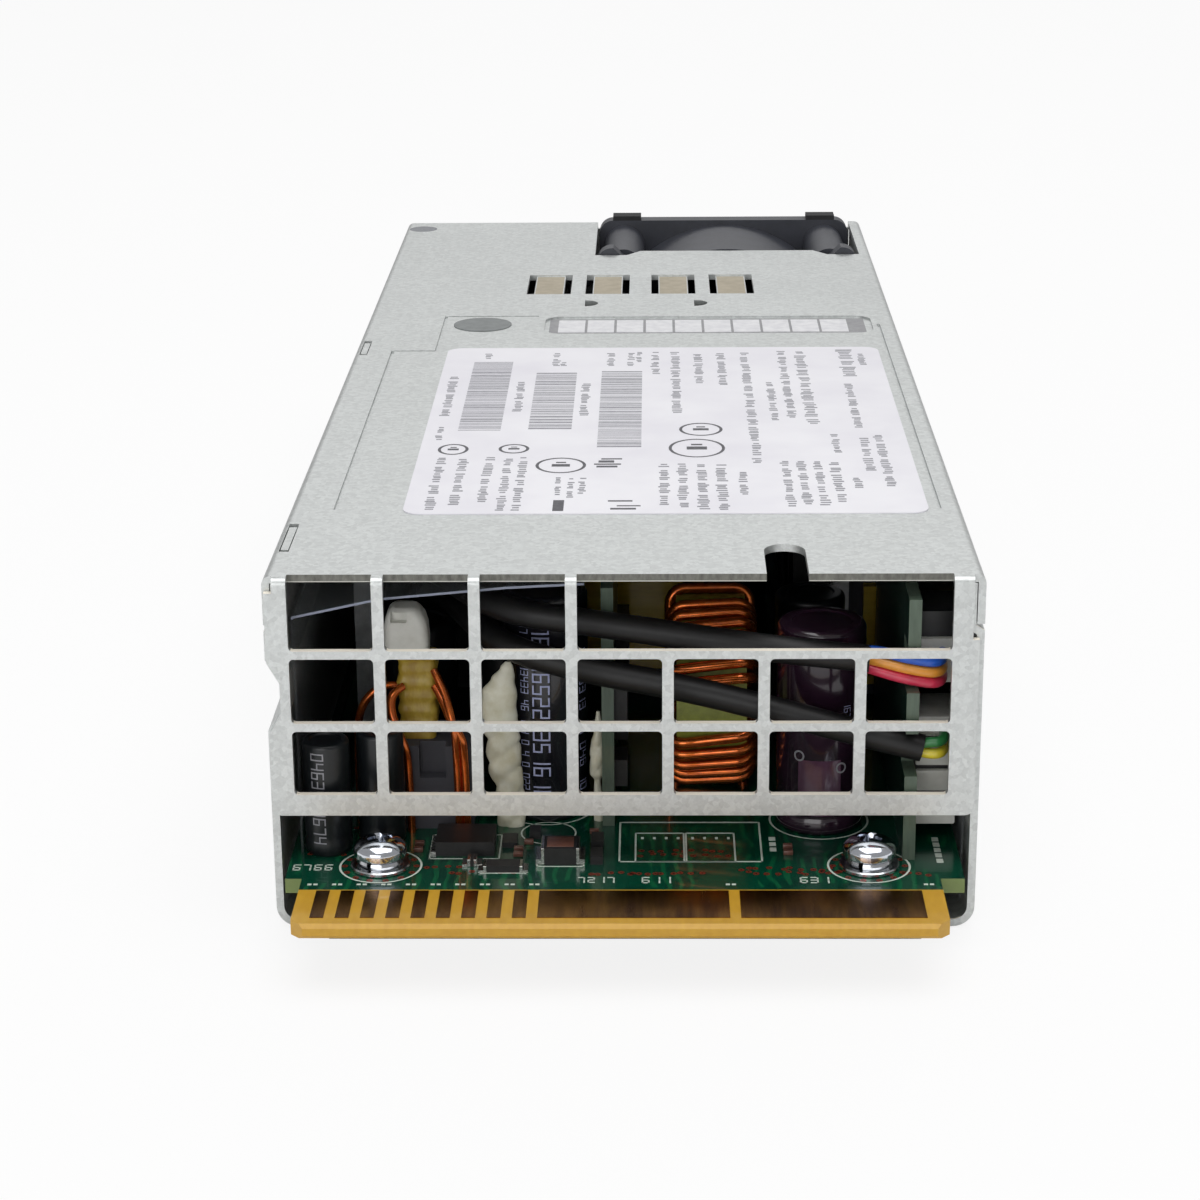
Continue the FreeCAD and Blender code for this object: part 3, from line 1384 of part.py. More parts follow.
def power_device(name, side, face, depth):
    """A TO-220 transistor with its three legs. side is the way it stands off its heatsink."""
    near_x, far_x = sorted((face, f"{face} {side} device_gauge"), key=value)
    y = from_front(depth)
    body = block(f"{name}_body", (near_x, far_x), (f"{y} - device_width / 2", f"{y} + device_width / 2"),
                 ("board_top + 4", "board_top + 4 + device_height"))
    pieces = [body]
    middle = f"{face} {side} device_gauge / 2"
    for k in (-1, 0, 1):
        leg = f"{y} + {2.54 * k}" if k >= 0 else f"{y} - 2.54"
        pieces.append(block(f"{name}_leg{k + 1}",
                            (f"{middle} - device_lead / 2", f"{middle} + device_lead / 2"),
                            (f"{leg} - device_lead / 2", f"{leg} + device_lead / 2"),
                            ("board_top", "board_top + 4")))
    return fuse(name, pieces)


def heatsinks():
    """Two aluminium heatsinks on edge with the power devices fixed to their faces."""
    inner = "heatsink_left"
    left = block("secondary_plate", (f"{inner} - heatsink_gauge", inner), (from_front(38), from_front(76)),
                 ("board_top", "board_top + secondary_height"))
    node("secondary_heatsink", left)
    node("rectifiers", [power_device(f"rectifier{k}", "+", inner, depth) for k, depth in enumerate((52, 65))])
    outer = "heatsink_right"
    plate = [block("primary_plate", (outer, f"{outer} + heatsink_gauge"), (from_front(44), from_front(104)),
                   ("board_top", "board_top + heatsink_height"))]
    for k in range(5):
        high = f"board_top + {6 + 4.6 * k}"
        plate.append(block(f"primary_fin{k}", (f"{outer} + heatsink_gauge", f"{outer} + heatsink_gauge + 4"),
                           (from_front(66), from_front(104)), (high, f"{high} + 1.2")))
    node("primary_heatsink", fuse("primary_sink", plate))
    node("transistors", [power_device(f"transistor{k}", "-", outer, depth)
                         for k, depth in enumerate((52, 64, 84, 98))])


def framed_core(name, x, depth, size, leg):
    """A rectangular ferrite core with one window, standing on the board."""
    width, deep, tall = size
    y = from_front(depth)
    outside = block(f"{name}_outside", (f"{x} - {width} / 2", f"{x} + {width} / 2"),
                    (f"{y} - {deep} / 2", f"{y} + {deep} / 2"), ("board_top", f"board_top + {tall}"))
    window = block(f"{name}_window", (f"{x} - {width} / 2 + {leg}", f"{x} + {width} / 2 - {leg}"),
                   (f"{y} - {deep} / 2 - 1", f"{y} + {deep} / 2 + 1"),
                   (f"board_top + {leg}", f"board_top + {tall} - {leg}"))
    return cut(name, outside, [window])


def transformers():
    """Main transformer and the small standby transformer beside it."""
    x, y = "(-half + 32.75)", from_front("transformer_place")
    size = ("transformer_width", "(transformer_depth - 2 * coil_overhang)", "transformer_height")
    leg = "(transformer_leg / 2)"
    rim = framed_core("main_core_rim", x, "transformer_place", size, leg)
    post = block("main_core_post", (f"{x} - transformer_leg / 2", f"{x} + transformer_leg / 2"),
                 (f"{y} - {size[1]} / 2", f"{y} + {size[1]} / 2"),
                 (f"board_top + {leg}", f"board_top + transformer_height - {leg}"))
    core = fuse("main_core", [rim, post])
    node("main_transformer_core", core)
    reach = f"(transformer_width / 2 - {leg} - seat_gap)"
    coil = block("main_coil_whole", (f"{x} - {reach}", f"{x} + {reach}"),
                 (f"{y} - transformer_depth / 2", f"{y} + transformer_depth / 2"),
                 (f"board_top + {leg}", f"board_top + transformer_height - {leg}"))
    node("main_transformer_coil", cut("main_coil", coil, [core]))
    x, depth = "(half - 6.2)", 54
    core = framed_core("standby_core", x, depth, ("8.4", "7", "16"), "1.8")
    node("standby_transformer_core", core)
    y = from_front(depth)
    coil = block("standby_coil", (f"{x} - 2.4", f"{x} + 2.4"), (f"{y} - 5", f"{y} + 5"),
                 ("board_top + 1.8", "board_top + 14.2"))
    node("standby_transformer_coil", coil)


def primary_side():
    """Boost choke, bulk capacitors, bridge, line filter, line capacitors, fuse, varistor and relay."""
    x, y, low = "(-half + 20.75)", from_front("choke_place"), "board_top + choke_wire + seat_gap"
    core = tube("boost_core", "Z", "choke_radius", "choke_bore", (x, y, low), "choke_height")
    node("boost_choke_core", core)
    ring = (value("choke_radius"), value("choke_bore"), value("choke_height"))
    turns = winding("boost_turns", Vector(), [15 * k for k in range(24)], ring, value("choke_wire"))
    turns.Placement = FreeCAD.Placement(Vector(), Rotation(Vector(0, 1, 0), -90))
    place(turns, (x, y, f"{low} + choke_height / 2"))
    feet = [block(f"boost_foot{k}", (f"{x} {side} (choke_radius + choke_wire / 2) - 0.6",
                                     f"{x} {side} (choke_radius + choke_wire / 2) + 0.6"),
                  (f"{y} - 0.6", f"{y} + 0.6"), ("board_top", f"board_top + seat_gap - 0.02"))
            for k, side in enumerate("-+")]
    node("boost_choke_winding", [turns, *feet])
    row = "bulk_front + bulk_radius"
    node("bulk_capacitors", [
        can("bulk_a", "bulk_place", row, "bulk_radius", "bulk_height"),
        can("bulk_b", "bulk_place", f"{row} + 2 * bulk_radius + bulk_gap", "bulk_radius", "bulk_height"),
    ])
    legs = [block(f"bridge_leg{k}", ("heatsink_right - 0.5", "heatsink_right + 0.5"),
                  (from_front(110 + 5 * k), from_front(111 + 5 * k)), ("board_top", "board_top + 3"))
            for k in range(4)]
    body = block("bridge_body", ("heatsink_right - 2", "heatsink_right + 2"),
                 (from_front(108), from_front(128)), ("board_top + 3", "board_top + 21"))
    node("bridge_rectifier", fuse("bridge", [body, *legs]))
    x = "(-half + 17.6)"
    size = ("emi_width", "(emi_depth - 2 * coil_overhang)", "emi_height")
    core = framed_core("line_core", x, "emi_place", size, "emi_leg")
    node("line_choke_core", core)
    y = from_front("emi_place")
    coils = []
    for side in (-1, 1):
        leg = f"{x} + ({side}) * (emi_width / 2 - emi_leg / 2)"
        whole = block(f"line_coil_whole{side + 1}", (f"{leg} - emi_leg / 2 - coil_overhang",
                                                     f"{leg} + emi_leg / 2 + coil_overhang"),
                      (f"{y} - emi_depth / 2", f"{y} + emi_depth / 2"),
                      ("board_top + emi_leg", "board_top + emi_height - emi_leg"))
        coils.append(cut(f"line_coil{side + 1}", whole, [core]))
    node("line_choke_coils", coils)
    high = "board_top + line_capacitor_height"
    x, y = "(-half + 22.75)", from_front(134.5)
    node("line_capacitor", block(
        "line_cap", (f"{x} - line_capacitor_width / 2", f"{x} + line_capacitor_width / 2"),
        (f"{y} - line_capacitor_depth / 2", f"{y} + line_capacitor_depth / 2"), ("board_top", high)))
    node("disc_capacitors", [
        rod("disc_a", "X", "3.6", ("-half + 6.2", from_front(132), "board_top + 3.6"), "2.6"),
        rod("disc_b", "X", "3.6", ("-half + 6.2", from_front(140.4), "board_top + 3.6"), "2.6"),
    ])
    node("varistor", rod("disc_c", "Y", "5", ("heatsink_right - 4", from_front(131), "board_top + 5"), "3.6"))
    node("fuse", [
        rod("fuse_glass", "Y", "2.5", ("half - 7", from_front(125), "board_top + 3"), "10"),
        rod("fuse_cap_a", "Y", "3", ("half - 7", from_front(121), "board_top + 3"), "4"),
        rod("fuse_cap_b", "Y", "3", ("half - 7", from_front(135), "board_top + 3"), "4"),
    ])
    node("relay", block("relay_case", ("2", "14"), (from_front(130), from_front(147)),
                        ("board_top", "board_top + 15")))


# ---------------------------------------------------------------------------------------------
# Rear end: fan, inlet, latch, handle and light
# ---------------------------------------------------------------------------------------------

def fan_hole_places():
    """Centres of the fan's four screw holes."""
    reach = "fan_hole_spacing / 2"
    return [(f"fan_middle {a} {reach}", f"fan_half {b} {reach}") for a in "-+" for b in "-+"]


def handle_levels():
    """Heights of the handle's two screws."""
    return ["handle_low + handle_bar / 2", "handle_top - handle_bar / 2"]


def fan_frame():
    """Two flanges and a barrel with four corner bosses, and the base on its struts at the rear."""
    left, right = "fan_middle - fan_half", "fan_middle + fan_half"
    low, high = "fan_half - relief_half", "fan_half + relief_half"
    eased = [
        (left, "0"),
        (f"{left} + fan_ear", "0"),
        (f"{left} + fan_ear + fan_ear_slope", low),
        (f"{right} - fan_ear - fan_ear_slope", low),
        (f"{right} - fan_ear", "0"),
        (right, "0"),
        (right, "fan_size"),
        (f"{right} - fan_ear", "fan_size"),
        (f"{right} - fan_ear - fan_ear_slope", high),
        (f"{left} + fan_ear + fan_ear_slope", high),
        (f"{left} + fan_ear", "fan_size"),
        (left, "fan_size"),
    ]
    middle = ("fan_middle", "fan_half")
    inside = ("fan_front + fan_flange", "fan_back - fan_flange")
    frame = Shaped("fan").pad("XZ_Plane", [eased], ("fan_front", "fan_front + fan_flange"))
    frame.pad("XZ_Plane", [(*middle, "barrel_radius")], ("fan_front + fan_flange", "fan_back"))
    frame.pad("XZ_Plane", [rectangle((left, right), ("0", "fan_size"))],
              ("fan_back - fan_flange", "fan_back"))
    for x, z in fan_hole_places():
        frame.pad("XZ_Plane", [(x, z, "fan_boss_radius")], inside)
    half = value("fan_half")
    centre = value("fan_middle")
    frame.ease("Fillet", "fan_corner", lambda a, b: runs_along("Y", a, b)
               and near(abs(a.x - centre), half) and near(abs(a.z - half), half))
    frame.pocket("XZ_Plane", [(*middle, "fan_bore")], ("fan_front - 1", "fan_back + 1"))
    for x, z in fan_hole_places():
        frame.pocket("XZ_Plane", [(x, z, "fan_hole_radius")], ("fan_front - 1", "fan_back + 1"))
    base = rod("fan_base", "Y", "fan_base_radius", ("fan_middle", "fan_back - fan_base_gauge", "fan_half"),
               "fan_base_gauge")
    depth = ("fan_back - fan_base_gauge", "fan_back")
    reach, wide = "fan_bore + 0.5", "strut_width / 2"
    bored = rod("spider_reach", "Y", "fan_bore", ("fan_middle", "fan_back - fan_base_gauge", "fan_half"),
                "fan_base_gauge")
    arms = [
        block("strut_flat", (f"fan_middle - ({reach})", f"fan_middle + {reach}"), depth,
              (f"fan_half - {wide}", f"fan_half + {wide}")),
        block("strut_tall", (f"fan_middle - {wide}", f"fan_middle + {wide}"), depth,
              (f"fan_half - ({reach})", f"fan_half + {reach}")),
    ]
    post = rod("fan_post", "Y", "tube_out", ("fan_middle", "post_front", "fan_half"),
               "fan_back - fan_base_gauge - (post_front)")
    NODES["fan_frame"] = frame.body
    whole = fuse("spider_whole", [common("spider_arms", fuse("spider_cross", arms), bored), base, post])
    bore = rod("fan_post_bore", "Y", "bearing_radius + running_gap",
               ("fan_middle", "post_front - 1", "fan_half"),
               "fan_back - fan_base_gauge - (post_front) + 1")
    NODES["fan_spider"] = cut("fan_spider_bored", whole, [bore])


def fan_insides():
    """Rotor with seven twisted blades, the stator it turns round, and two bearings."""
    x, z = "fan_middle", "fan_half"
    shell = cut("hub_shell", rod("hub_outside", "Y", "hub_radius", (x, "hub_front", z), "hub_length"),
                [rod("hub_inside", "Y", "hub_radius - hub_wall", (x, "hub_front + hub_wall", z),
                     "hub_length")])
    shaft = rod("fan_shaft", "Y", "shaft_radius", (x, "hub_front + hub_wall", z),
                "fan_back - fan_base_gauge - seat_gap - (hub_front) - hub_wall")
    tip, root = value("blade_tip"), value("hub_radius - hub_wall / 2")
    centre = Vector(value(x), value("hub_front + hub_length / 2"), value(z))
    length, thick = value("blade_length") / 2, value("blade_gauge") / 2
    ends = []
    for radius, turn in ((root * 0.66, value("blade_root_turn")), (tip + 0.6, value("blade_tip_turn"))):
        lean = math.radians(turn)
        corners = []
        for u, v in ((-length, -thick), (length, -thick), (length, thick), (-length, thick)):
            corners.append(Vector(u * math.sin(lean) + v * math.cos(lean),
                                  u * math.cos(lean) - v * math.sin(lean), radius))
        ends.append(Part.makePolygon(corners + corners[:1]))
    blade = Part.makeLoft(ends, True, True)
    keep = Part.makeCylinder(tip, 40, Vector(0, -20, 0), Vector(0, 1, 0))
    keep = keep.cut(Part.makeCylinder(root, 40, Vector(0, -20, 0), Vector(0, 1, 0)))
    blade = blade.common(keep)
    blades = []
    for k in range(7):
        copy = blade.copy()
        copy.rotate(Vector(), Vector(0, 1, 0), k * 360 / 7)
        copy.translate(centre)
        blades.append(copy)
    node("fan_rotor", fuse("rotor", [shell, shaft, fixed("fan_blades", blades)]))
    coil = "hub_radius - hub_wall - stator_gap"
    stator = tube("stator_ring", "Y", coil, "tube_out", (x, "stator_front", z), "stator_length")
    along = ("stator_front - 1", "stator_front + stator_length + 1")
    slots = [
        block("stator_slot_a", (f"{x} - 0.8", f"{x} + 0.8"), along,
              (f"{z} - hub_radius", f"{z} + hub_radius")),
        block("stator_slot_b", (f"{x} - hub_radius", f"{x} + hub_radius"), along,
              (f"{z} - 0.8", f"{z} + 0.8")),
    ]
    keep_core = rod("stator_heart", "Y", "tube_out + 1.4", (x, "stator_front - 2", z), "stator_length + 4")
    node("fan_stator", cut("stator", stator, [cut("stator_slots", fuse("stator_cross", slots), [keep_core])]))
    last = "fan_back - fan_base_gauge - bearing_length"
    node("fan_bearings", [
        tube("bearing_front", "Y", "bearing_radius", "bearing_bore", (x, "post_front", z), "bearing_length"),
        tube("bearing_rear", "Y", "bearing_radius", "bearing_bore", (x, last, z), "bearing_length"),
    ])


def rear_screw(name, x, z, head_at, length, forward):
    """A pan-head screw along Y; forward screws are driven towards the card edge."""
    if forward:
        return fuse(name, [
            rod(f"{name}_shank", "Y", "screw_radius", (x, f"{head_at} - {length}", z), length),
            rod(f"{name}_head", "Y", "screw_head_radius", (x, head_at, z), "screw_head_height / 2"),
            cone(f"{name}_dome", "Y", "screw_head_radius", "screw_head_radius * 0.6",
                 (x, f"{head_at} + screw_head_height / 2", z), "screw_head_height / 2"),
        ])
    return fuse(name, [
        rod(f"{name}_shank", "Y", "screw_radius", (x, head_at, z), length),
        rod(f"{name}_head", "Y", "screw_head_radius", (x, f"{head_at} - screw_head_height", z),
            "screw_head_height"),
    ])


def fan_fixings():
    """Four screws through the rear panel, two rubber pads and the fan's lead."""
    node("fan_screws", [rear_screw(f"fan_screw{k}", x, z, "panel_back", "fan_screw_length", True)
                        for k, (x, z) in enumerate(fan_hole_places())])
    depth, thick = ("fan_back - fan_flange", "fan_back"), ("fan_size", "fan_size + fan_pad_gauge")
    left, right = "fan_middle - fan_half + fan_corner", "fan_middle + fan_half - fan_corner"
    node("fan_pads", [
        block("pad_left", (left, f"{left} + fan_pad_width"), depth, thick),
        block("pad_right", (f"{right} - fan_pad_width", right), depth, thick),
    ])
    side, level = value("fan_middle - fan_half") + 2, 11
    start, end = value("fan_front"), value("board_rear") - 3
    node("fan_lead", wire_run("fan_cable", [
        (side, start, level), (side, end, level), (side, end, value("board_top"))], 0.9, 8))


def inlet():
    """Inlet body on end, its three blades, and leads from their tails to the board."""
    wide, tall = "inlet_width / 2", "inlet_tall / 2"
    x, z = "inlet_middle", "inlet_height"
    outer = rectangle((f"{x} - {wide}", f"{x} + {wide}"), (f"{z} - {tall}", f"{z} + {tall}"))
    lip = rectangle((f"{x} - {wide} - inlet_flange", f"{x} + {wide} + inlet_flange"),
                    (f"{z} - {tall} - inlet_flange", f"{z} + {tall} + inlet_flange"))
    body = Shaped("inlet").pad("XZ_Plane", [outer], ("inlet_back", "rear"))
    body.pad("XZ_Plane", [lip], ("rear", "inlet_face"))
    face = value("inlet_face")
    body.ease("Fillet", "1.5", lambda a, b: runs_along("Y", a, b) and near(max(a.y, b.y), face))
    cavity = [
        (f"{x} - cavity_half", f"{z} - cavity_tall + inlet_bevel"),
        (f"{x} - cavity_half + inlet_bevel", f"{z} - cavity_tall"),
        (f"{x} + cavity_half", f"{z} - cavity_tall"),
        (f"{x} + cavity_half", f"{z} + cavity_tall"),
        (f"{x} - cavity_half + inlet_bevel", f"{z} + cavity_tall"),
        (f"{x} - cavity_half", f"{z} + cavity_tall - inlet_bevel"),
    ]
    body.pocket("XZ_Plane", [cavity], ("cavity_back", "inlet_face + 1"))
    pins, leads = [], []
    for k, (offset, rise) in enumerate(((1, 1), (1, -1), (-1, 0))):
        across = f"{x} + ({offset}) * pin_offset"
        level = f"{z} + ({rise}) * pin_spacing / 2"
        blade = block(f"blade{k}", (f"{across} - pin_width / 2", f"{across} + pin_width / 2"),
                      ("inlet_back", "cavity_back + pin_length"),
                      (f"{level} - pin_gauge / 2", f"{level} + pin_gauge / 2"))
        tail = block(f"tail{k}", (f"{across} - pin_width / 2", f"{across} + pin_width / 2"),
                     ("inlet_back - tail_length", "inlet_back"),
                     (f"{level} - tail_gauge / 2", f"{level} + tail_gauge / 2"))
        pins.append(fuse(f"inlet_pin{k}", [blade, tail]))
        side, high = value(across), value(level)
        start, end = value("inlet_back - tail_length"), value("board_rear") - 2.5
        foot = value("board_top")
        shift = (-0.4, 3, -6.6)[k]
        points = [(side, start, high), (side, start - 3, high), (side + shift, end, high),
                  (side + shift, end, foot)]
        leads.append(wire_run(f"inlet_lead{k}", points, 1, 8))
    node("inlet_pins", pins)
    node("inlet_leads", leads)
    NODES["inlet_body"] = cut("inlet_moulding", body.body, pins)


def latch():
    """Bracket, pin, sprung lever with its hook, the spring, and the grip on the lever's tail."""
    y = "pivot_place"
    depth = (f"{y} - latch_bracket_length / 2", f"{y} + latch_bracket_length / 2")
    inner = "bracket_in"
    bracket = fuse("latch_channel", [
        block("bracket_low", ("-wall_in", inner), depth, ("latch_low", "latch_low + latch_bracket_gauge")),
        block("bracket_high", ("-lip_in", inner), depth,
              ("latch_top + sheet_gap / 2", "latch_top + sheet_gap / 2 + latch_bracket_gauge")),
        block("bracket_web", (f"{inner} - latch_bracket_gauge", inner), depth,
              ("latch_low", "latch_top + sheet_gap / 2 + latch_bracket_gauge")),
    ])
    pin = rod("pin_shank", "Z", "latch_pin_radius", ("pivot_side", y, "latch_low"),
              "latch_top + sheet_gap / 2 + latch_bracket_gauge - (latch_low)")
    node("latch_bracket", cut("bracket_drilled", bracket, [pin]))
    head = rod("pin_head", "Z", "latch_pin_radius + 0.6",
               ("pivot_side", y, "latch_top + sheet_gap / 2 + latch_bracket_gauge"), "0.6")
    node("latch_pin", fuse("pin_whole", [pin, head]))
    knuckle = rod("knuckle", "Z", "latch_knuckle_radius", ("pivot_side", y, "latch_base"), "knuckle_height")
    arm = block("lever_arm", ("lever_out", "lever_in"), (y, "lever_tail"), ("latch_base", "latch_top"))
    notch = block("lever_notch", ("lever_out - 1", "lever_in + 0.1"),
                  (f"{y} - 1", f"{y} + latch_knuckle_radius + 1.6"),
                  ("latch_base + knuckle_height", "latch_top + 1"))
    hook = Shaped("hook").pad("XY_Plane", [[
        ("lever_in", "hook_front"),
        ("lever_out", "hook_front"),
        ("-half - latch_hook_reach", "hook_back - 0.8"),
        ("-half - latch_hook_reach", "hook_back"),
        ("lever_in", "hook_back"),
    ]], ("hook_base", "hook_top"))
    lever = fuse("lever_whole", [knuckle, cut("lever_plain", arm, [notch]), hook.body])
    bore = rod("knuckle_bore", "Z", "latch_pin_radius + running_gap", ("pivot_side", y, "latch_base - 1"),
               "knuckle_height + 2")
    node("latch_lever", cut("lever_bored", lever, [bore]))
    grip = Shaped("grip").pad("YZ_Plane", [rectangle(
        ("lever_tail + grip_wall - grip_length", "lever_tail + grip_wall"),
        ("latch_base - grip_wall", "latch_top + grip_wall"))],
        ("lever_out - 1.6 * grip_wall", "lever_in + 1.4 * grip_wall"))
    end = value("lever_tail + grip_wall")
    grip.ease("Fillet", "0.8 * grip_wall", lambda a, b: near(a.y, end) and near(b.y, end))
    NODES["latch_grip"] = cut("grip_socket", grip.body, [arm])
    coil_low = "latch_base + knuckle_height + 0.2"
    loop = "latch_pin_radius + 0.15"
    rings = [tube(f"spring_ring{k}", "Z", f"{loop} + spring_wire", loop,
                  ("pivot_side", y, f"{coil_low} + {k} * (spring_wire + 0.12)"), "spring_wire")
             for k in range(3)]
    mid = "pivot_side + latch_pin_radius + 0.15"
    joint = block("spring_joint", (mid, f"{mid} + spring_wire"), (f"{y} - 0.25", f"{y} + 0.25"),
                  (coil_low, f"{coil_low} + 3 * spring_wire + 0.24"))
    far = "lever_in + seat_gap + 0.15"
    legs = [
        block("spring_leg_lever", (far, f"{far} + spring_wire"),
              (f"{y} + latch_pin_radius + 0.2", f"{y} + 4.6"), (coil_low, f"{coil_low} + spring_wire")),
        block("spring_leg_bracket", ("pivot_side", f"{inner} - latch_bracket_gauge"),
              (f"{y} - latch_pin_radius - 0.15 - spring_wire", f"{y} - latch_pin_radius - 0.15"),
              (f"{coil_low} + 2 * (spring_wire + 0.12)", f"{coil_low} + 3 * spring_wire + 0.24")),
    ]
    node("latch_spring", fuse("spring_whole", [*rings, joint, *legs]))


def handle_and_light():
    """Pull handle with its two screws, and the status light with its bezel."""
    x = "handle_middle"
    loop = [
        ("rear", "handle_low"),
        ("handle_out", "handle_low"),
        ("handle_out", "handle_top"),
        ("rear", "handle_top"),
        ("rear", "handle_top - handle_bar"),
        ("handle_out - handle_bar", "handle_top - handle_bar"),
        ("handle_out - handle_bar", "handle_low + handle_bar"),
        ("rear", "handle_low + handle_bar"),
    ]
    span = (f"{x} - handle_width / 2", f"{x} + handle_width / 2")
    bow = Shaped("handle").pad("YZ_Plane", [loop], span)
    out, base, top = value("handle_out"), value("handle_low"), value("handle_top")
    inside = value("handle_out - handle_bar")
    bow.ease("Fillet", "2.6 * handle_round", lambda a, b: runs_along("X", a, b)
             and (near(a.y, out) or near(a.y, inside) and base < a.z < top))
    bow.ease("Fillet", "0.6 * handle_round", lambda a, b: near(a.x, b.x)
             and near(a.y, out) and near(b.y, out))
    for level in handle_levels():
        bow.pocket("XZ_Plane", [(x, level, "screw_radius + 0.02")], ("rear - 1", "rear + handle_screw_bite"))
    NODES["pull_handle"] = bow.body
    node("handle_screws", [
        rear_screw(f"handle_screw{k}", x, level, "panel_face", "handle_screw_bite - 0.5", False)
        for k, level in enumerate(handle_levels())])
    x, z = "light_place", "light_height"
    node("status_light", fuse("light_whole", [
        rod("light_stem", "Y", "light_radius", (x, "panel_face - 3", z), "sheet_gauge + 3.8"),
        cone("light_dome", "Y", "light_radius", "light_radius * 0.6", (x, "panel_back + 0.8", z), "0.7"),
    ]))
    node("light_bezel", tube("bezel_ring", "Y", "light_bezel_radius", "light_radius + 0.02",
                             (x, "panel_back", z), "0.6"))


# ---------------------------------------------------------------------------------------------
# Build and export
# ---------------------------------------------------------------------------------------------

# Pieces of one kind that share a node.
SHARED = {
    "signal_leads": ("blue_lead", "orange_lead", "red_lead", "green_lead", "yellow_lead"),
    "power_cables": ("upper_cable", "lower_cable"),
    "electrolytic_capacitors": ("small_capacitors", "output_capacitors"),
    "panel_screws": ("fan_screws", "handle_screws"),
    "transformer_cores": ("main_transformer_core", "standby_transformer_core"),
    "transformer_coils": ("main_transformer_coil", "standby_transformer_coil"),
    "power_devices": ("rectifiers", "transistors"),
    "disc_parts": ("disc_capacitors", "varistor"),
    "heatsinks": ("primary_heatsink", "secondary_heatsink"),
    "small_board_parts": ("surface_parts", "control_card_parts"),
    "upright_cards": ("control_card", "supervisor_card"),
    "boxed_line_parts": ("line_capacitor", "relay"),
}


def share():
    """Join the pieces that share a node."""
    for label, kept in SHARED.items():
        solids = []
        for name in kept:
            thing = NODES.pop(name)
            solids += thing.Links if thing.TypeId == "Part::Compound" else [thing]
        node(label, solids)


def build():
    """Model every sub-part."""
    fill_sheet()
    chassis_tray()
    top_cover()
    rear_panel()
    case_screws()
    stickers()
    main_board()
    board_fixings()
    surface_parts()
    film()
    front_capacitors()
    filter_choke()
    output_choke()
    upright_cards()
    sleeved_cables()
    adhesive_beads()
    heatsinks()
    transformers()
    primary_side()
    fan_frame()
    fan_insides()
    fan_fixings()
    inlet()
    latch()
    handle_and_light()
    share()
    DOC.recompute()


def check():
    """Stop on any object in error, and on any sub-part whose shape is missing or not valid."""
    for thing in DOC.Objects:
        if "Invalid" in thing.State or "Error" in thing.State:
            raise ValueError(f"{thing.Name} is {thing.State}")
    for label, thing in NODES.items():
        if thing.Shape.isNull() or not thing.Shape.isValid() or not thing.Shape.Solids:
            raise ValueError(f"{label} has no sound shape")


def export():
    """Write one STEP file for each sub-part."""
    os.makedirs("parts", exist_ok=True)
    for label, thing in NODES.items():
        thing.Label = label
        thing.Shape.exportStep(f"parts/{label}.step")


build()
check()
export()
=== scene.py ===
"""Looks of a hot swap server power supply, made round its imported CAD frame.

Everything is in metres in the frame's own axes: +X to the right seen from the card edge, +Y back to
the fan and the inlet, +Z up, with the origin under the middle of the case. Sizes in the classes are
in millimetres, and a depth is measured back from the grille's face.
"""

import logging
import math
import random
from dataclasses import dataclass, field
from enum import Enum
from typing import Callable, Iterable, Sequence

import bmesh
import bpy
from mathutils import Matrix, Vector


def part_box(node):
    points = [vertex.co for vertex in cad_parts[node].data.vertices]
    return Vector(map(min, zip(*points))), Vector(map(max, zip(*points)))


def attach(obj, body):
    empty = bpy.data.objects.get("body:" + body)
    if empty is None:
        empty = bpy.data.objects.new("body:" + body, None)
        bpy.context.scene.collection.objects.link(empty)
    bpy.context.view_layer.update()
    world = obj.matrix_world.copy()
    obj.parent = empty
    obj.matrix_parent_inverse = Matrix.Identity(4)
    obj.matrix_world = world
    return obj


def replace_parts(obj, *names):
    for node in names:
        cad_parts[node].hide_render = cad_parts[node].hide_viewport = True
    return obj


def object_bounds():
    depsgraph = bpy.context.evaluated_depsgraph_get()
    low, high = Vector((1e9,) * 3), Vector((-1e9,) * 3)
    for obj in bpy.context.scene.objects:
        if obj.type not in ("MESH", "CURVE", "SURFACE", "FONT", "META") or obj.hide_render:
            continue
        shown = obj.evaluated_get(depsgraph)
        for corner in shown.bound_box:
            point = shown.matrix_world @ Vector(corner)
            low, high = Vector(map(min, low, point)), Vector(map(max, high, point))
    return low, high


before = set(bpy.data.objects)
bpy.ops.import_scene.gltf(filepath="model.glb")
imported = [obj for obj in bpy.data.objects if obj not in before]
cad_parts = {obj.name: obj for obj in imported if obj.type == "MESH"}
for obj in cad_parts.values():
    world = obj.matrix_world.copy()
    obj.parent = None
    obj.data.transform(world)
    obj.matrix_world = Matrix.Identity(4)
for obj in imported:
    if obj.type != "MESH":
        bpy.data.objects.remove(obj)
CAD_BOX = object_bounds()
MM = 0.001
FACE = -92.5                # the grille's face
BOARD = 7.5                 # the main board's upper side
SHARP = math.radians(38)    # edges steeper than this don't shade smoothly
LOG = logging.getLogger("power_supply")

BMesh = bmesh.types.BMesh
Thing = bpy.types.Object
Colour = tuple[float, float, float]
Spot = tuple[float, float, float]
Span = tuple[float, float]


# Shader maths

def srgb(red: float, green: float, blue: float) -> tuple[float, float, float, float]:
    """A display colour from 0 to 255 as the linear colour that a shader takes.

    Args:
        red, green, blue: display values.

    Returns:
        Linear red, green, blue and an alpha of one.
    """
    linear = [((c / 255 + 0.055) / 1.055) ** 2.4 if c > 10 else c / 255 / 12.92
              for c in (red, green, blue)]
    return (*linear, 1.0)


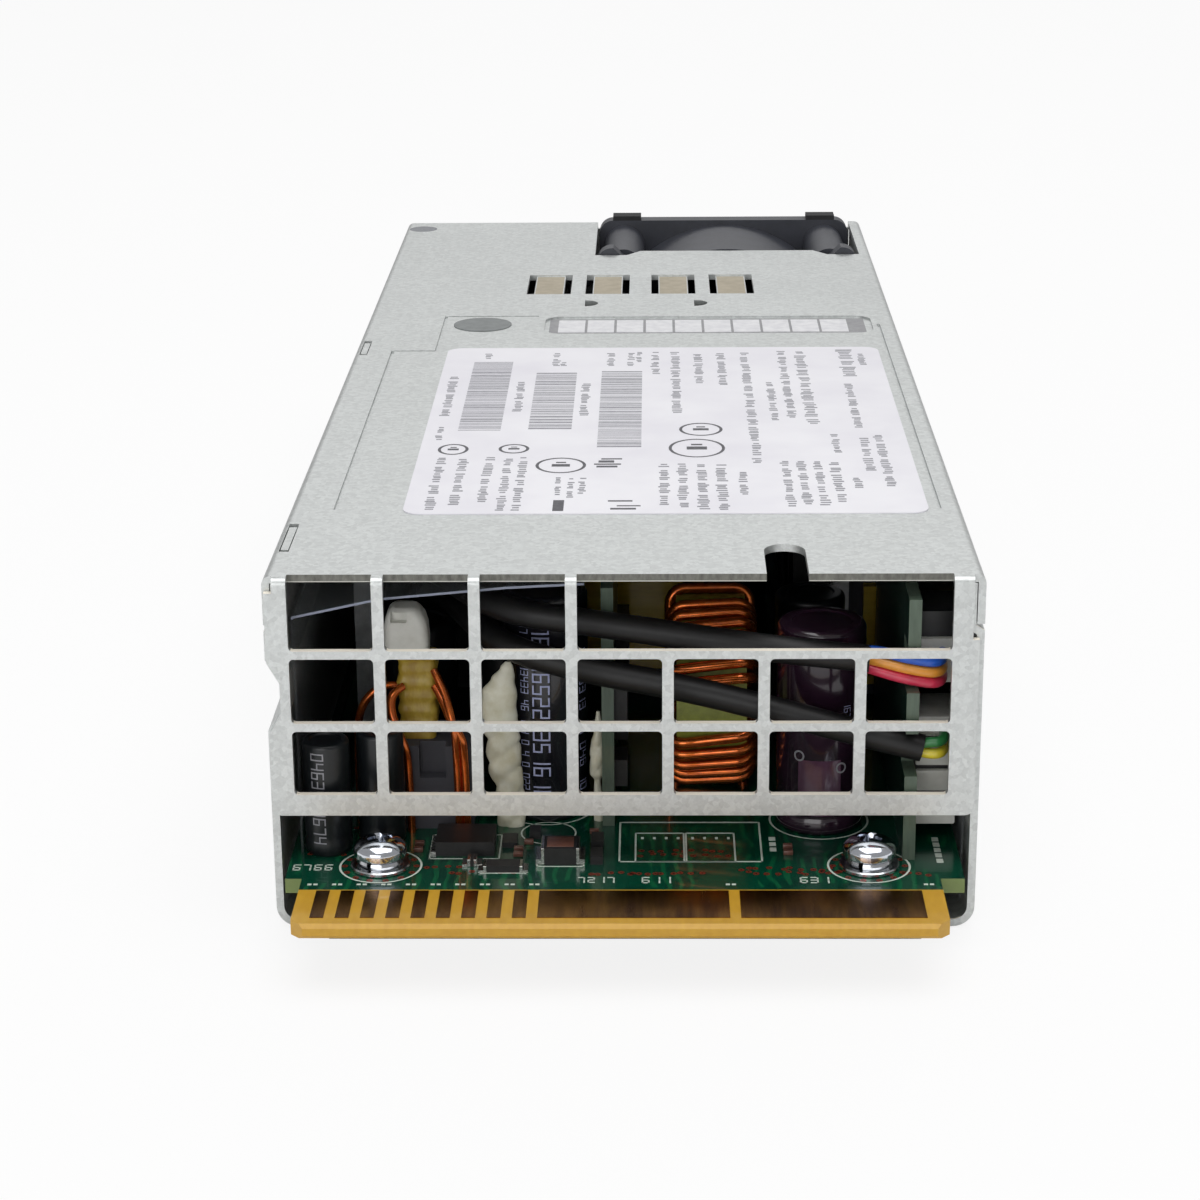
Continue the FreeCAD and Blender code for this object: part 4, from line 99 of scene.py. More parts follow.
def operator(operation: str, swapped: bool = False) -> Callable[["Term", object], "Term"]:
    """An operator of Term that adds one Math node.

    Args:
        operation: the node's operation.
        swapped: whether the other side comes first.

    Returns:
        The method.
    """
    def apply(term: "Term", other: object = 0.0) -> "Term":
        """Add the node on both sides."""
        first, second = (other, term) if swapped else (term, other)
        return term.shader.node("ShaderNodeMath", {"operation": operation}, {0: first, 1: second})
    return apply


class Term:
    """An output of a shader node. Arithmetic on it adds Math nodes."""

    __add__ = operator("ADD")
    __radd__ = operator("ADD", swapped=True)
    __sub__ = operator("SUBTRACT")
    __rsub__ = operator("SUBTRACT", swapped=True)
    __mul__ = operator("MULTIPLY")
    __mod__ = operator("FLOORED_MODULO")
    __gt__ = operator("GREATER_THAN")
    __lt__ = operator("LESS_THAN")
    __abs__ = operator("ABSOLUTE")
    most = operator("MAXIMUM")

    def __init__(self, shader: "Shader", socket: bpy.types.NodeSocket) -> None:
        """Wrap a socket of a shader's node tree."""
        self.shader = shader
        self.socket = socket

    def between(self, low: float, high: float) -> "Term":
        """One between two bounds, otherwise nought."""
        return (self > low) * (self < high)


class Shader:
    """The node tree of a material or a world."""

    def __init__(self, owner: bpy.types.Material | bpy.types.World) -> None:
        """Start from an empty tree.

        Args:
            owner: the material or the world.
        """
        self.owner = owner
        owner.use_nodes = True
        self.tree = owner.node_tree
        self.tree.nodes.clear()

    def node(self, kind: str, settings: dict | None = None, inputs: dict | None = None,
             output: int | str = 0) -> Term:
        """Add a node.

        Args:
            kind: the node's type.
            settings: attributes, set first; "stops" is a ramp's list of (place, colour).
            inputs: value or term for each input, by name or index.
            output: which output to hand back.

        Returns:
            The chosen output.
        """
        made = self.tree.nodes.new(kind)
        for name, setting in (settings or {}).items():
            if name != "stops":
                setattr(made, name, setting)
                continue
            elements = made.color_ramp.elements
            while len(elements) < len(setting):
                elements.new(0.5)
            for element, (at, colour) in zip(elements, setting):
                element.position = at
                element.color = colour
        for name, term in (inputs or {}).items():
            if isinstance(term, Term):
                self.tree.links.new(term.socket, made.inputs[name])
            else:
                made.inputs[name].default_value = term
        return Term(self, made.outputs[output])

    def axes(self, output: str) -> list[Term]:
        """The three axes of a texture coordinate, which is Object or Normal."""
        split = self.node("ShaderNodeSeparateXYZ", inputs={0: self.node("ShaderNodeTexCoord", output=output)})
        return [Term(self, split.socket.node.outputs[axis]) for axis in range(3)]

    def place(self) -> list[Term]:
        """Position on the piece in millimetres, as three terms."""
        return [axis * 1000.0 for axis in self.axes("Object")]

    def noise(self, grain: float, detail: float = 2.0, stretch: Sequence[float] = (1, 1, 1)) -> Term:
        """Noise from 0 to 1.

        Args:
            grain: size of its patches, in millimetres.
            detail: finer layers.
            stretch: scale along each axis, for drawn or brushed surfaces.

        Returns:
            The noise's value.
        """
        where = self.node("ShaderNodeTexCoord", output="Object")
        spread = self.node("ShaderNodeMapping", inputs={0: where, "Scale": tuple(stretch)})
        return self.node("ShaderNodeTexNoise", inputs={
            "Vector": spread, "Scale": 1000.0 / grain, "Detail": detail, "Roughness": 0.6})

    def cells(self, grain: float) -> Term:
        """A random value for each crystal-like cell of a given size in millimetres.

        Args:
            grain: size of a cell, in millimetres.

        Returns:
            The value, from 0 to 1.
        """
        where = self.node("ShaderNodeTexCoord", output="Object")
        cell = self.node("ShaderNodeTexVoronoi", inputs={"Vector": where, "Scale": 1000.0 / grain},
                         output="Color")
        return self.node("ShaderNodeSeparateColor", inputs={0: cell})

    def blend(self, factor: object, first: object, second: object) -> Term:
        """Mix two colours.

        Args:
            factor: 0 for the first, 1 for the second.
            first, second: colours or terms.

        Returns:
            The mixed colour.
        """
        return self.node("ShaderNodeMix", {"data_type": "RGBA"}, {0: factor, 6: first, 7: second}, 2)

    def tint(self, colour: object, amount: object) -> Term:
        """A colour times a value."""
        start = colour if isinstance(colour, Term) else colour[:3]
        return self.node("ShaderNodeVectorMath", {"operation": "SCALE"}, {0: start, "Scale": amount})

    def bump(self, height: Term, depth: float) -> Term:
        """A normal raised by height, whose full range is depth millimetres."""
        return self.node("ShaderNodeBump", inputs={"Height": height, "Distance": depth * MM, "Strength": 1.0})

    def finish(self, **inputs: object) -> bpy.types.Material:
        """Close the tree with a principled surface.

        Args:
            inputs: its sockets, with underscores for spaces.

        Returns:
            The material.
        """
        named = {name.replace("_", " "): term for name, term in inputs.items()}
        self.close(self.node("ShaderNodeBsdfPrincipled", inputs=named))
        return self.owner

    def close(self, surface: Term, kind: str = "ShaderNodeOutputMaterial") -> None:
        """Connect a surface to an output node of the given kind."""
        end = self.tree.nodes.new(kind)
        self.tree.links.new(surface.socket, end.inputs["Surface"])


# Finishes

@dataclass(frozen=True)
class Finish:
    """A material with mottled colour, uneven gloss and fine relief."""

    name: str
    colour: Colour
    second: Colour | None = None
    grain: float = 1.0
    contrast: float = 0.15
    roughness: float = 0.5
    uneven: float = 0.08
    metallic: float = 0.0
    coat: float = 0.0
    relief: float = 0.0
    relief_grain: float = 0.3
    stretch: Sequence[float] = (1, 1, 1)

    def material(self) -> bpy.types.Material:
        """The finish's material, made once."""
        return bpy.data.materials.get(self.name) or self.paint(Shader(bpy.data.materials.new(self.name)))

    def tone(self, shader: Shader) -> Term:
        """The mottled colour.

        Args:
            shader: where the nodes go.

        Returns:
            The colour.
        """
        patches = shader.noise(self.grain, 3, self.stretch)
        first = srgb(*self.colour)
        second = srgb(*(self.second or [c * (1 - self.contrast) for c in self.colour]))
        return shader.blend((patches - 0.35) * 2.5, first, second)

    def paint(self, shader: Shader) -> bpy.types.Material:
        """Fill the shader.

        Args:
            shader: where the nodes go.

        Returns:
            The finished material.
        """
        fine = shader.noise(self.relief_grain, 2, self.stretch)
        inputs = {
            "Base_Color": self.tone(shader),
            "Roughness": self.roughness + (fine - 0.5) * self.uneven,
            "Metallic": self.metallic,
            "Coat_Weight": self.coat,
        }
        if self.relief:
            inputs["Normal"] = shader.bump(fine, self.relief)
        return shader.finish(**inputs)


@dataclass(frozen=True)
class GalvanisedSheet(Finish):
    """Zinc coated sheet with a frosted spangle, up-facing sills in the grille painted near white as a painted
    highlight of light from above, and a cut face over the grille painted dark above its lip, partly its rough
    fracture zone and partly painted shade under the bend.
    """

    grille_back: float = -91.35
    bend_back: float = -90.6
    bend_low: float = 37.6
    lip: float = 38.3

    def paint(self, shader: Shader) -> bpy.types.Material:
        """Fill the shader.

        Args:
            shader: where the nodes go.

        Returns:
            The finished material.
        """
        _, y, z = shader.place()
        _, forward, up = shader.axes("Normal")
        spangle = shader.cells(0.5)
        frost = shader.noise(0.22, 2)
        cloud = shader.noise(24, 4)
        rolled = shader.noise(0.5, 2, (1, 0.03, 1))
        light = (0.93 + (spangle - 0.5) * 0.16 + (frost - 0.5) * 0.24 + (cloud - 0.5) * 0.10
                 + (rolled - 0.5) * 0.06)
        sheet = shader.tint(srgb(*self.colour), light)
        # Painted highlight: up-facing sills in the grille are made near white and less metallic, standing for
        # light from above.
        painted_lit_sill = (up > 0.8) * (y < self.grille_back) * (z < self.bend_low)
        # Cut face under the bend: dark and mottled above the lip, partly the rough fracture zone of the cut
        # and partly painted shade under the bend; pale below the lip.
        cut_face_and_shade = (forward < -0.6) * (y > self.grille_back) * (y < self.bend_back) * (z > self.bend_low)
        bite = shader.noise(0.6, 3, (1, 1, 0.4))
        edge = shader.blend((z > self.lip) * (bite * 0.6 + 0.5), srgb(196, 196, 188), srgb(66, 66, 60))
        colour = shader.blend(painted_lit_sill, shader.blend(cut_face_and_shade, sheet, edge), srgb(255, 247, 232))
        return shader.finish(
            Base_Color=colour,
            Roughness=self.roughness + (frost - 0.5) * 0.25 + (cloud - 0.5) * 0.12,
            Metallic=self.metallic - painted_lit_sill * 0.75 - cut_face_and_shade * 0.4,
            Normal=shader.bump(frost * 0.6 + spangle * 0.4, 0.008))


@dataclass(frozen=True)
class BoardResist(Finish):
    """Glossy green solder resist with traces under it, and bare laminate on the tongue and edges."""

    laminate: Colour = (206, 160, 44)
    tongue_line: float = -98.8

    def paint(self, shader: Shader) -> bpy.types.Material:
        """Fill the shader.

        Args:
            shader: where the nodes go.

        Returns:
            The finished material.
        """
        x, y, _ = shader.place()
        _, _, up = shader.axes("Normal")
        wander = shader.noise(7, 1)
        tracks = ((x * 0.9 + wander * 3) % 1.27).between(0.0, 0.42) * (shader.noise(5, 0) > 0.52)
        planes = shader.noise(4.5, 0) > 0.55
        green = shader.blend(planes * 0.5, srgb(*self.colour), srgb(*(self.second or self.colour)))
        green = shader.blend(tracks * 0.45, green, srgb(22, 108, 66))
        weave = shader.noise(0.8, 1, (1, 0.3, 1))
        bare = shader.blend(weave, srgb(*self.laminate), srgb(186, 138, 30))
        bare = shader.blend(y > self.tongue_line, bare, srgb(112, 128, 70))
        is_bare = (y < self.tongue_line).most(abs(up) < 0.6)
        return shader.finish(
            Base_Color=shader.blend(is_bare, green, bare),
            Roughness=0.22 + is_bare * 0.16 + (weave - 0.5) * 0.06,
            Coat_Weight=0.4 - is_bare * 0.2,
            Normal=shader.bump(tracks * 0.5 + planes * 0.3, 0.03))


@dataclass(frozen=True)
class CardResist(Finish):
    """Dark green resist on an upright card, whose cut edges show grey-green glass laminate."""

    laminate: Colour = (88, 104, 88)

    def paint(self, shader: Shader) -> bpy.types.Material:
        """Fill the shader.

        Args:
            shader: where the nodes go.

        Returns:
            The finished material.
        """
        aside, _, _ = shader.axes("Normal")
        is_edge = abs(aside) < 0.5
        fibre = shader.noise(0.5, 2, (1, 1, 0.15))
        cut = shader.blend(fibre, srgb(*self.laminate), srgb(58, 72, 60))
        return shader.finish(
            Base_Color=shader.blend(is_edge, self.tone(shader), cut),
            Roughness=self.roughness + is_edge * 0.25,
            Coat_Weight=self.coat,
            Normal=shader.bump(fibre, 0.01))


@dataclass(frozen=True)
class ClearFilm(Finish):
    """Thin smoky polyester sheet whose cut front edge catches the light."""

    edge_low: float = 33.6

    def paint(self, shader: Shader) -> bpy.types.Material:
        """Fill the shader.

        Args:
            shader: where the nodes go.

        Returns:
            The finished material.
        """
        _, _, z = shader.place()
        _, forward, _ = shader.axes("Normal")
        edge = (forward < -0.7) * (z > self.edge_low)
        haze = shader.noise(9, 3)
        return shader.finish(
            Base_Color=shader.blend(edge, srgb(*self.colour), srgb(176, 184, 206)),
            Roughness=0.2 + (haze - 0.5) * 0.1,
            Alpha=0.14 + haze * 0.10 + edge * 0.42)


@dataclass(frozen=True)
class WornGold(Finish):
    """Gold flash on copper, tarnished in streaks where the socket's springs have rubbed."""

    def paint(self, shader: Shader) -> bpy.types.Material:
        """Fill the shader.

        Args:
            shader: where the nodes go.

        Returns:
            The finished material.
        """
        streaks = shader.noise(1.1, 3, (1, 0.12, 1))
        cloud = shader.noise(9, 2)
        fine = shader.noise(0.3, 2, (1, 0.1, 1))
        return shader.finish(
            Base_Color=shader.blend((streaks + cloud - 0.75) * 2.2, srgb(*self.colour), srgb(*self.second)),
            Roughness=0.16 + streaks * 0.16 + (fine - 0.5) * 0.08,
            Metallic=1.0,
            Normal=shader.bump(fine, 0.003))


STEEL = GalvanisedSheet("galvanised_sheet", (214, 217, 216), roughness=0.42, metallic=0.8)
STEEL_INNER = GalvanisedSheet("galvanised_panel", (196, 199, 198), roughness=0.42, metallic=0.8)
ZINC = Finish("zinc_plate", (188, 186, 180), grain=2, contrast=0.12, roughness=0.3, metallic=1.0,
              relief=0.004)
CHROME = Finish("bright_nickel", (226, 230, 238), grain=1.5, contrast=0.06, roughness=0.12, uneven=0.08,
                metallic=1.0, relief=0.002)
WASHER = Finish("washer_zinc", (214, 216, 220), grain=1.2, contrast=0.08, roughness=0.2, uneven=0.1,
                metallic=1.0, relief=0.004)
BRASS = Finish("turned_brass", (196, 160, 84), grain=1.5, roughness=0.24, metallic=1.0, relief=0.01,
               relief_grain=0.2, stretch=(0.1, 0.1, 1))
LABEL = Finish("label_film", (240, 239, 244), second=(228, 226, 234), grain=14, roughness=0.34, uneven=0.1,
               coat=0.15, relief=0.004, relief_grain=1.4)
PRINT = Finish("label_print", (150, 150, 156), second=(124, 124, 132), grain=0.8, roughness=0.5)
PRINT_DARK = Finish("label_print_dark", (84, 84, 90), second=(60, 60, 66), grain=0.8, roughness=0.5)
STRIP = Finish("strip_paper", (226, 226, 228), second=(206, 206, 210), grain=1.5, roughness=0.6,
               relief=0.01)
# Painted shade: a flat grey sheet under the revision strip's squares, standing for the shading of the sunk
# pocket.
STRIP_RECESS_SHADE = Finish("strip_recess_shade", (150, 150, 152), second=(132, 132, 136), grain=1.0, roughness=0.5)
TARNISH = Finish("tarnished_zinc", (178, 168, 148), second=(160, 150, 130), grain=1.6, roughness=0.5,
                 metallic=0.4, relief=0.01)
DOT = Finish("grey_dot", (128, 132, 132), second=(112, 116, 116), grain=1.5, roughness=0.55, relief=0.01)
GOLD = WornGold("worn_gold", (150, 104, 36), second=(92, 54, 14))
RESIST = BoardResist("green_resist", (2, 62, 44), second=(1, 44, 34))
CARD = CardResist("card_resist", (14, 50, 38), second=(8, 36, 28), grain=2.5, roughness=0.28, coat=0.3)
FILM = ClearFilm("clear_film", (120, 124, 128))
CHIP = Finish("moulded_epoxy", (34, 33, 34), grain=0.6, contrast=0.3, roughness=0.5, relief=0.012,
              relief_grain=0.12)
FERRITE = Finish("ferrite", (26, 27, 31), second=(36, 35, 36), grain=0.8, roughness=0.55, relief=0.03,
                 relief_grain=0.25)
CORE_GREEN = Finish("coated_ring", (132, 140, 52), second=(108, 112, 40), grain=1.2, roughness=0.45,
                    relief=0.03)
COPPER = Finish("enamelled_copper", (216, 112, 44), second=(176, 76, 26), grain=1.4, roughness=0.2,
                uneven=0.12, metallic=0.9, coat=0.5)
TAPE = Finish("yellow_tape", (184, 158, 58), second=(138, 98, 26), grain=2.6, roughness=0.4, coat=0.2,
              relief=0.14, relief_grain=1.1, stretch=(1.2, 1.2, 0.6))
SILICONE = Finish("white_silicone", (228, 226, 208), second=(208, 202, 172), grain=1.6, roughness=0.36,
                  coat=0.2, relief=0.03, relief_grain=0.6)
NYLON = Finish("white_nylon", (228, 228, 222), second=(210, 210, 202), grain=2.2, roughness=0.38,
               relief=0.01)
SLEEVE_BLACK = Finish("black_sleeve", (14, 13, 15), second=(8, 8, 9), grain=3, roughness=0.5, uneven=0.1,
                      coat=0.02, relief=0.012, relief_grain=0.5)
HEATSINK = Finish("rolled_aluminium", (178, 180, 182), grain=1.5, roughness=0.34, metallic=1.0,
                  relief=0.006, stretch=(1, 0.06, 1))
FAN = Finish("fan_plastic", (58, 60, 68), second=(50, 52, 58), grain=2.5, roughness=0.42, relief=0.012,
             relief_grain=0.25)
ROTOR = Finish("rotor_plastic", (46, 48, 54), second=(38, 40, 44), grain=2.5, roughness=0.36, relief=0.008,
               relief_grain=0.25)
RUBBER = Finish("soft_rubber", (40, 40, 42), grain=1.2, contrast=0.25, roughness=0.75, relief=0.02)
NYLON_BLACK = Finish("black_nylon", (34, 34, 36), grain=1.6, contrast=0.25, roughness=0.42, relief=0.012,
                     relief_grain=0.2)
GRIP = Finish("green_grip", (26, 142, 84), second=(20, 122, 72), grain=2, roughness=0.4, relief=0.012,
              relief_grain=0.2)
SPRING = Finish("spring_steel", (120, 120, 124), grain=0.8, roughness=0.3, metallic=1.0)
DISC = Finish("dipped_epoxy", (38, 84, 150), second=(28, 66, 124), grain=1.4, roughness=0.25, coat=0.4,
              relief=0.04, relief_grain=1.2)
FUSE = Finish("fuse_ceramic", (214, 210, 198), second=(196, 190, 176), grain=1.5, roughness=0.4,
              relief=0.01)
COIL_TAPE = Finish("coil_tape", (206, 176, 52), second=(184, 150, 34), grain=3, roughness=0.32, coat=0.3,
                   relief=0.04, relief_grain=1.2, stretch=(0.3, 0.3, 1.5))
BOX_GREY = Finish("moulded_box", (110, 114, 120), second=(96, 100, 106), grain=1.6, roughness=0.45,
                  relief=0.01)
LENS = Finish("diffuse_lens", (196, 222, 178), second=(180, 206, 160), grain=0.8, roughness=0.2, coat=0.5)
SLEEVE_TALL = Finish("sleeve_tall", (30, 30, 36), second=(20, 20, 26), grain=3, roughness=0.2, coat=0.4,
                     relief=0.008)
SLEEVE_PURPLE = Finish("sleeve_purple", (46, 27, 42), second=(30, 18, 30), grain=3, roughness=0.16,
                       coat=0.5, relief=0.008)
SLEEVE_GREEN = Finish("sleeve_green", (20, 24, 27), second=(13, 16, 19), grain=3, roughness=0.36, coat=0.08,
                      relief=0.008)
SOLDER = Finish("solder", (190, 190, 186), grain=0.6, roughness=0.22, metallic=1.0, relief=0.02)
SLEEVE_INK = Finish("sleeve_ink", (186, 192, 226), second=(160, 166, 206), grain=0.5, roughness=0.5)
SLEEVE_STRIPE = Finish("sleeve_stripe", (92, 62, 84), second=(80, 50, 72), grain=2.0, roughness=0.22,
                       coat=0.4)
SILK = Finish("silkscreen", (206, 214, 204), second=(188, 198, 186), grain=0.5, roughness=0.55)
VIA = Finish("via_copper", (150, 62, 46), second=(112, 40, 28), grain=0.3, roughness=0.3, metallic=0.5)
PART_BROWN = Finish("ceramic_brown", (112, 74, 62), second=(92, 60, 50), grain=0.5, roughness=0.35,
                    coat=0.2)


class LeadColour(Enum):
    """Insulation colours of the thin leads."""

    BLUE = (38, 96, 206)
    ORANGE = (234, 156, 56)
    RED = (216, 52, 84)
    GREEN = (46, 132, 70)
    YELLOW = (232, 214, 56)

    def finish(self) -> Finish:
        """The lead's finish.

        Returns:
            The finish.
        """
        darker = tuple(c * 0.86 for c in self.value)
        return Finish(f"lead_{self.name.lower()}", self.value, second=darker, grain=1.5, roughness=0.3,
                      coat=0.3)


# Meshes

def back(depth: float) -> float:
    """Y of a place that lies a given depth behind the grille's face."""
    return FACE + depth


def deep(depths: Span) -> Span:
    """Y at both ends of a span of depths."""
    return back(depths[0]), back(depths[1])


def circle(sides: int) -> list[Span]:
    """Cosine and sine at each corner of a circle."""
    return [(math.cos(turn), math.sin(turn)) for turn in (2 * math.pi * s / sides for s in range(sides))]


def rounded(x: Span, y: Span, ease: float, steps: int = 6) -> list[Span]:
    """Corners of a rounded rectangle.

    Args:
        x, y: low and high sides.
        ease: radius of its corners.
        steps: points round each corner.

    Returns:
        Points in order round it.
    """
    flat = []
    for across, along, start in ((x[1] - ease, y[1] - ease, 0), (x[0] + ease, y[1] - ease, 90),
                                 (x[0] + ease, y[0] + ease, 180), (x[1] - ease, y[0] + ease, 270)):
        for step in range(steps):
            turn = math.radians(start + 90 * step / (steps - 1))
            flat.append((across + ease * math.cos(turn), along + ease * math.sin(turn)))
    return flat


def corners(bm: BMesh, spots: Iterable[Sequence[float]]) -> list[bmesh.types.BMVert]:
    """New corners at places in millimetres."""
    return [bm.verts.new(Vector(spot) * MM) for spot in spots]


def skin(bm: BMesh, rings: Sequence[Sequence[bmesh.types.BMVert]], caps: bool = True) -> None:
    """Join rings of corners, each to the next.

    Args:
        bm: the mesh to add to.
        rings: the corners of each section.
        caps: whether both ends are closed.
    """
    for one, two in zip(rings, rings[1:]):
        for s, t in zip(range(len(one)), [*range(1, len(one)), 0]):
            bm.faces.new((one[s], one[t], two[t], two[s]))
    if caps:
        bm.faces.new(list(reversed(rings[0])))
        bm.faces.new(rings[-1])


def sweep(bm: BMesh, path: Sequence[Vector], radius: float, sides: int, closed: bool = False) -> None:
    """Add a round tube along a path.

    Args:
        bm: the mesh to add to.
        path: points of its centre line, in metres.
        radius: of the tube, in metres.
        sides: corners of its section.
        closed: whether it joins its own start.
    """
    count = len(path)
    rings = []
    across = None
    for k, point in enumerate(path):
        before = path[(k - 1) % count] if closed or k else point
        after = path[(k + 1) % count] if closed or k < count - 1 else point
        ahead = (after - before).normalized()
        if across is None:
            across = ahead.orthogonal().normalized()
        across = (across - ahead * across.dot(ahead)).normalized()
        other = ahead.cross(across)
        rings.append([bm.verts.new(point + (across * c + other * s) * radius) for c, s in circle(sides)])
    skin(bm, rings, caps=not closed)
    if closed:
        end, start = rings[-1], rings[0]
        shift = min(range(sides), key=lambda s: (end[0].co - start[s].co).length)
        skin(bm, [end, start[shift:] + start[:shift]], caps=False)


def loft(bm: BMesh, sections: Sequence[tuple[float, Span, Span, float]]) -> None:
    """Add a soft block from level rounded rectangles.

    Args:
        bm: the mesh to add to.
        sections: (level, x span, y span, corner radius) from the foot up, in millimetres.
    """
    skin(bm, [corners(bm, [(*flat, level) for flat in rounded(x, y, ease)])
              for level, x, y, ease in sections])


def lathe(bm: BMesh, centre: Sequence[float], profile: Sequence[Span], sides: int = 48) -> None:
    """Add a turned solid about an upright axis.

    Args:
        bm: the mesh to add to.
        centre: foot of the axis, in millimetres.
        profile: (radius, height) from the foot to the top, in millimetres.
        sides: corners round the axis.
    """
    x, y, foot = centre
    skin(bm, [corners(bm, [(x + radius * c, y + radius * s, foot + height) for c, s in circle(sides)])
              for radius, height in profile])


def slab(bm: BMesh, x: Span, y: Span, z: Span, ease: float = 0.0) -> None:
    """Add a block with eased edges.

    Args:
        bm: the mesh to add to.
        x, y, z: low and high ends, in millimetres.
        ease: bevel on its edges, in millimetres.
    """
    made = bmesh.ops.create_cube(bm, size=1.0)
    middle = Vector(((x[0] + x[1]) / 2, (y[0] + y[1]) / 2, (z[0] + z[1]) / 2)) * MM
    size = Vector((x[1] - x[0], y[1] - y[0], z[1] - z[0])) * MM
    for vert in made["verts"]:
        vert.co = Vector([c * s for c, s in zip(vert.co, size)]) + middle
    if ease:
        edges = list({edge for vert in made["verts"] for edge in vert.link_edges})
        bmesh.ops.bevel(bm, geom=edges, offset=ease * MM, segments=2, affect="EDGES", profile=0.5)


def show(name: str, data: bpy.types.ID, finish: Finish) -> Thing:
    """Put a mesh or a curve in the scene, riding on the case.

    Args:
        name: the piece's name.
        data: its mesh or curve.
        finish: its finish.

    Returns:
        The object.
    """
    thing = bpy.data.objects.new(name, data)
    bpy.context.scene.collection.objects.link(thing)
    data.materials.append(finish.material())
    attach(thing, "case")
    LOG.info("made %s", name)
    return thing


def shade(mesh: bpy.types.Mesh) -> None:
    """Shade a mesh smoothly between its sharp edges."""
    mesh.shade_smooth()
    mesh.set_sharp_from_angle(angle=SHARP)


def piece(name: str, build: Callable[[BMesh], None], finish: Finish, smooth: bool = True) -> Thing:
    """Make a mesh object that rides on the case.

    Args:
        name: the piece's name.
        build: fills an empty bmesh, in the frame's metres.
        finish: its finish.
        smooth: whether its faces shade smoothly between sharp edges.

    Returns:
        The object.
    """
    mesh = bpy.data.meshes.new(name)
    bm = bmesh.new()
    build(bm)
    bmesh.ops.recalc_face_normals(bm, faces=bm.faces)
    bm.to_mesh(mesh)
    bm.free()
    if smooth:
        shade(mesh)
    return show(name, mesh, finish)


def lead(name: str, route: Iterable[Sequence[float]], radius: float, finish: Finish) -> Thing:
    """A smooth insulated lead along a route.

    Args:
        name: the piece's name.
        route: (side, depth, height) points in millimetres.
        radius: of the lead, in millimetres.
        finish: its finish.

    Returns:
        The curve object.
    """
    curve = bpy.data.curves.new(name, "CURVE")
    curve.dimensions = "3D"
    curve.bevel_depth = radius * MM
    curve.bevel_resolution = 5
    curve.resolution_u = 10
    curve.use_fill_caps = True
    places = [Vector((side, back(depth), height)) * MM for side, depth, height in route]
    spline = curve.splines.new("NURBS")
    spline.points.add(len(places) - 1)
    for point, place in zip(spline.points, places):
        point.co = (*place, 1.0)
    spline.order_u = 3
    spline.use_endpoint_u = True
    return show(name, curve, finish)


def carve(thing: Thing, cutter: Thing) -> None:
    """Take a cutter's shape out of a piece, and delete the cutter.

    Args:
        thing: the piece.
        cutter: what is taken out.
    """
    cut = thing.modifiers.new("carve", "BOOLEAN")
    cut.operation = "DIFFERENCE"
    cut.solver = "EXACT"
    cut.use_self = True
    cut.object = cutter
    bpy.context.view_layer.update()
    evaluated = thing.evaluated_get(bpy.context.evaluated_depsgraph_get())
    carved = bpy.data.meshes.new_from_object(evaluated)
    thing.modifiers.clear()
    thing.data = carved
    shade(carved)
    bpy.data.objects.remove(cutter, do_unlink=True)


def dress(finish: Finish, *nodes: str) -> None:
    """Give CAD nodes a finish.

    Args:
        finish: the finish.
        nodes: names of the nodes.
    """
    material = finish.material()
    for node in nodes:
        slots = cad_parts[node].data.materials
        if not slots:
            slots.append(material)
        for index in range(len(slots)):
            slots[index] = material
        LOG.info("dressed %s", node)


# Sub-assemblies

# Strokes of plain digits, as (start, end) along the row and (foot, head) across it.
STROKES = {"a": (0.0, 0.5, 1.0, 1.0), "b": (0.5, 0.5, 0.5, 1.0), "c": (0.5, 0.5, 0.0, 0.5),
           "d": (0.0, 0.5, 0.0, 0.0), "e": (0.0, 0.0, 0.0, 0.5), "f": (0.0, 0.0, 0.5, 1.0),
           "g": (0.0, 0.5, 0.5, 0.5)}
DIGITS = [[STROKES[stroke] for stroke in digit]
          for digit in ("abcdef", "bc", "bc", "abged", "abgcd", "fgbc", "afgcd", "afgedc", "abc")]


@dataclass
class Enclosure:
    """Tray, cover and rear panel with their fastenings."""

    def build(self) -> None:
        """Give the sheet metal and its fastenings their finishes."""
        dress(STEEL, "chassis_tray", "top_cover")
        dress(STEEL_INNER, "rear_panel")
        dress(CHROME, "case_screws", "panel_screws", "latch_pin")


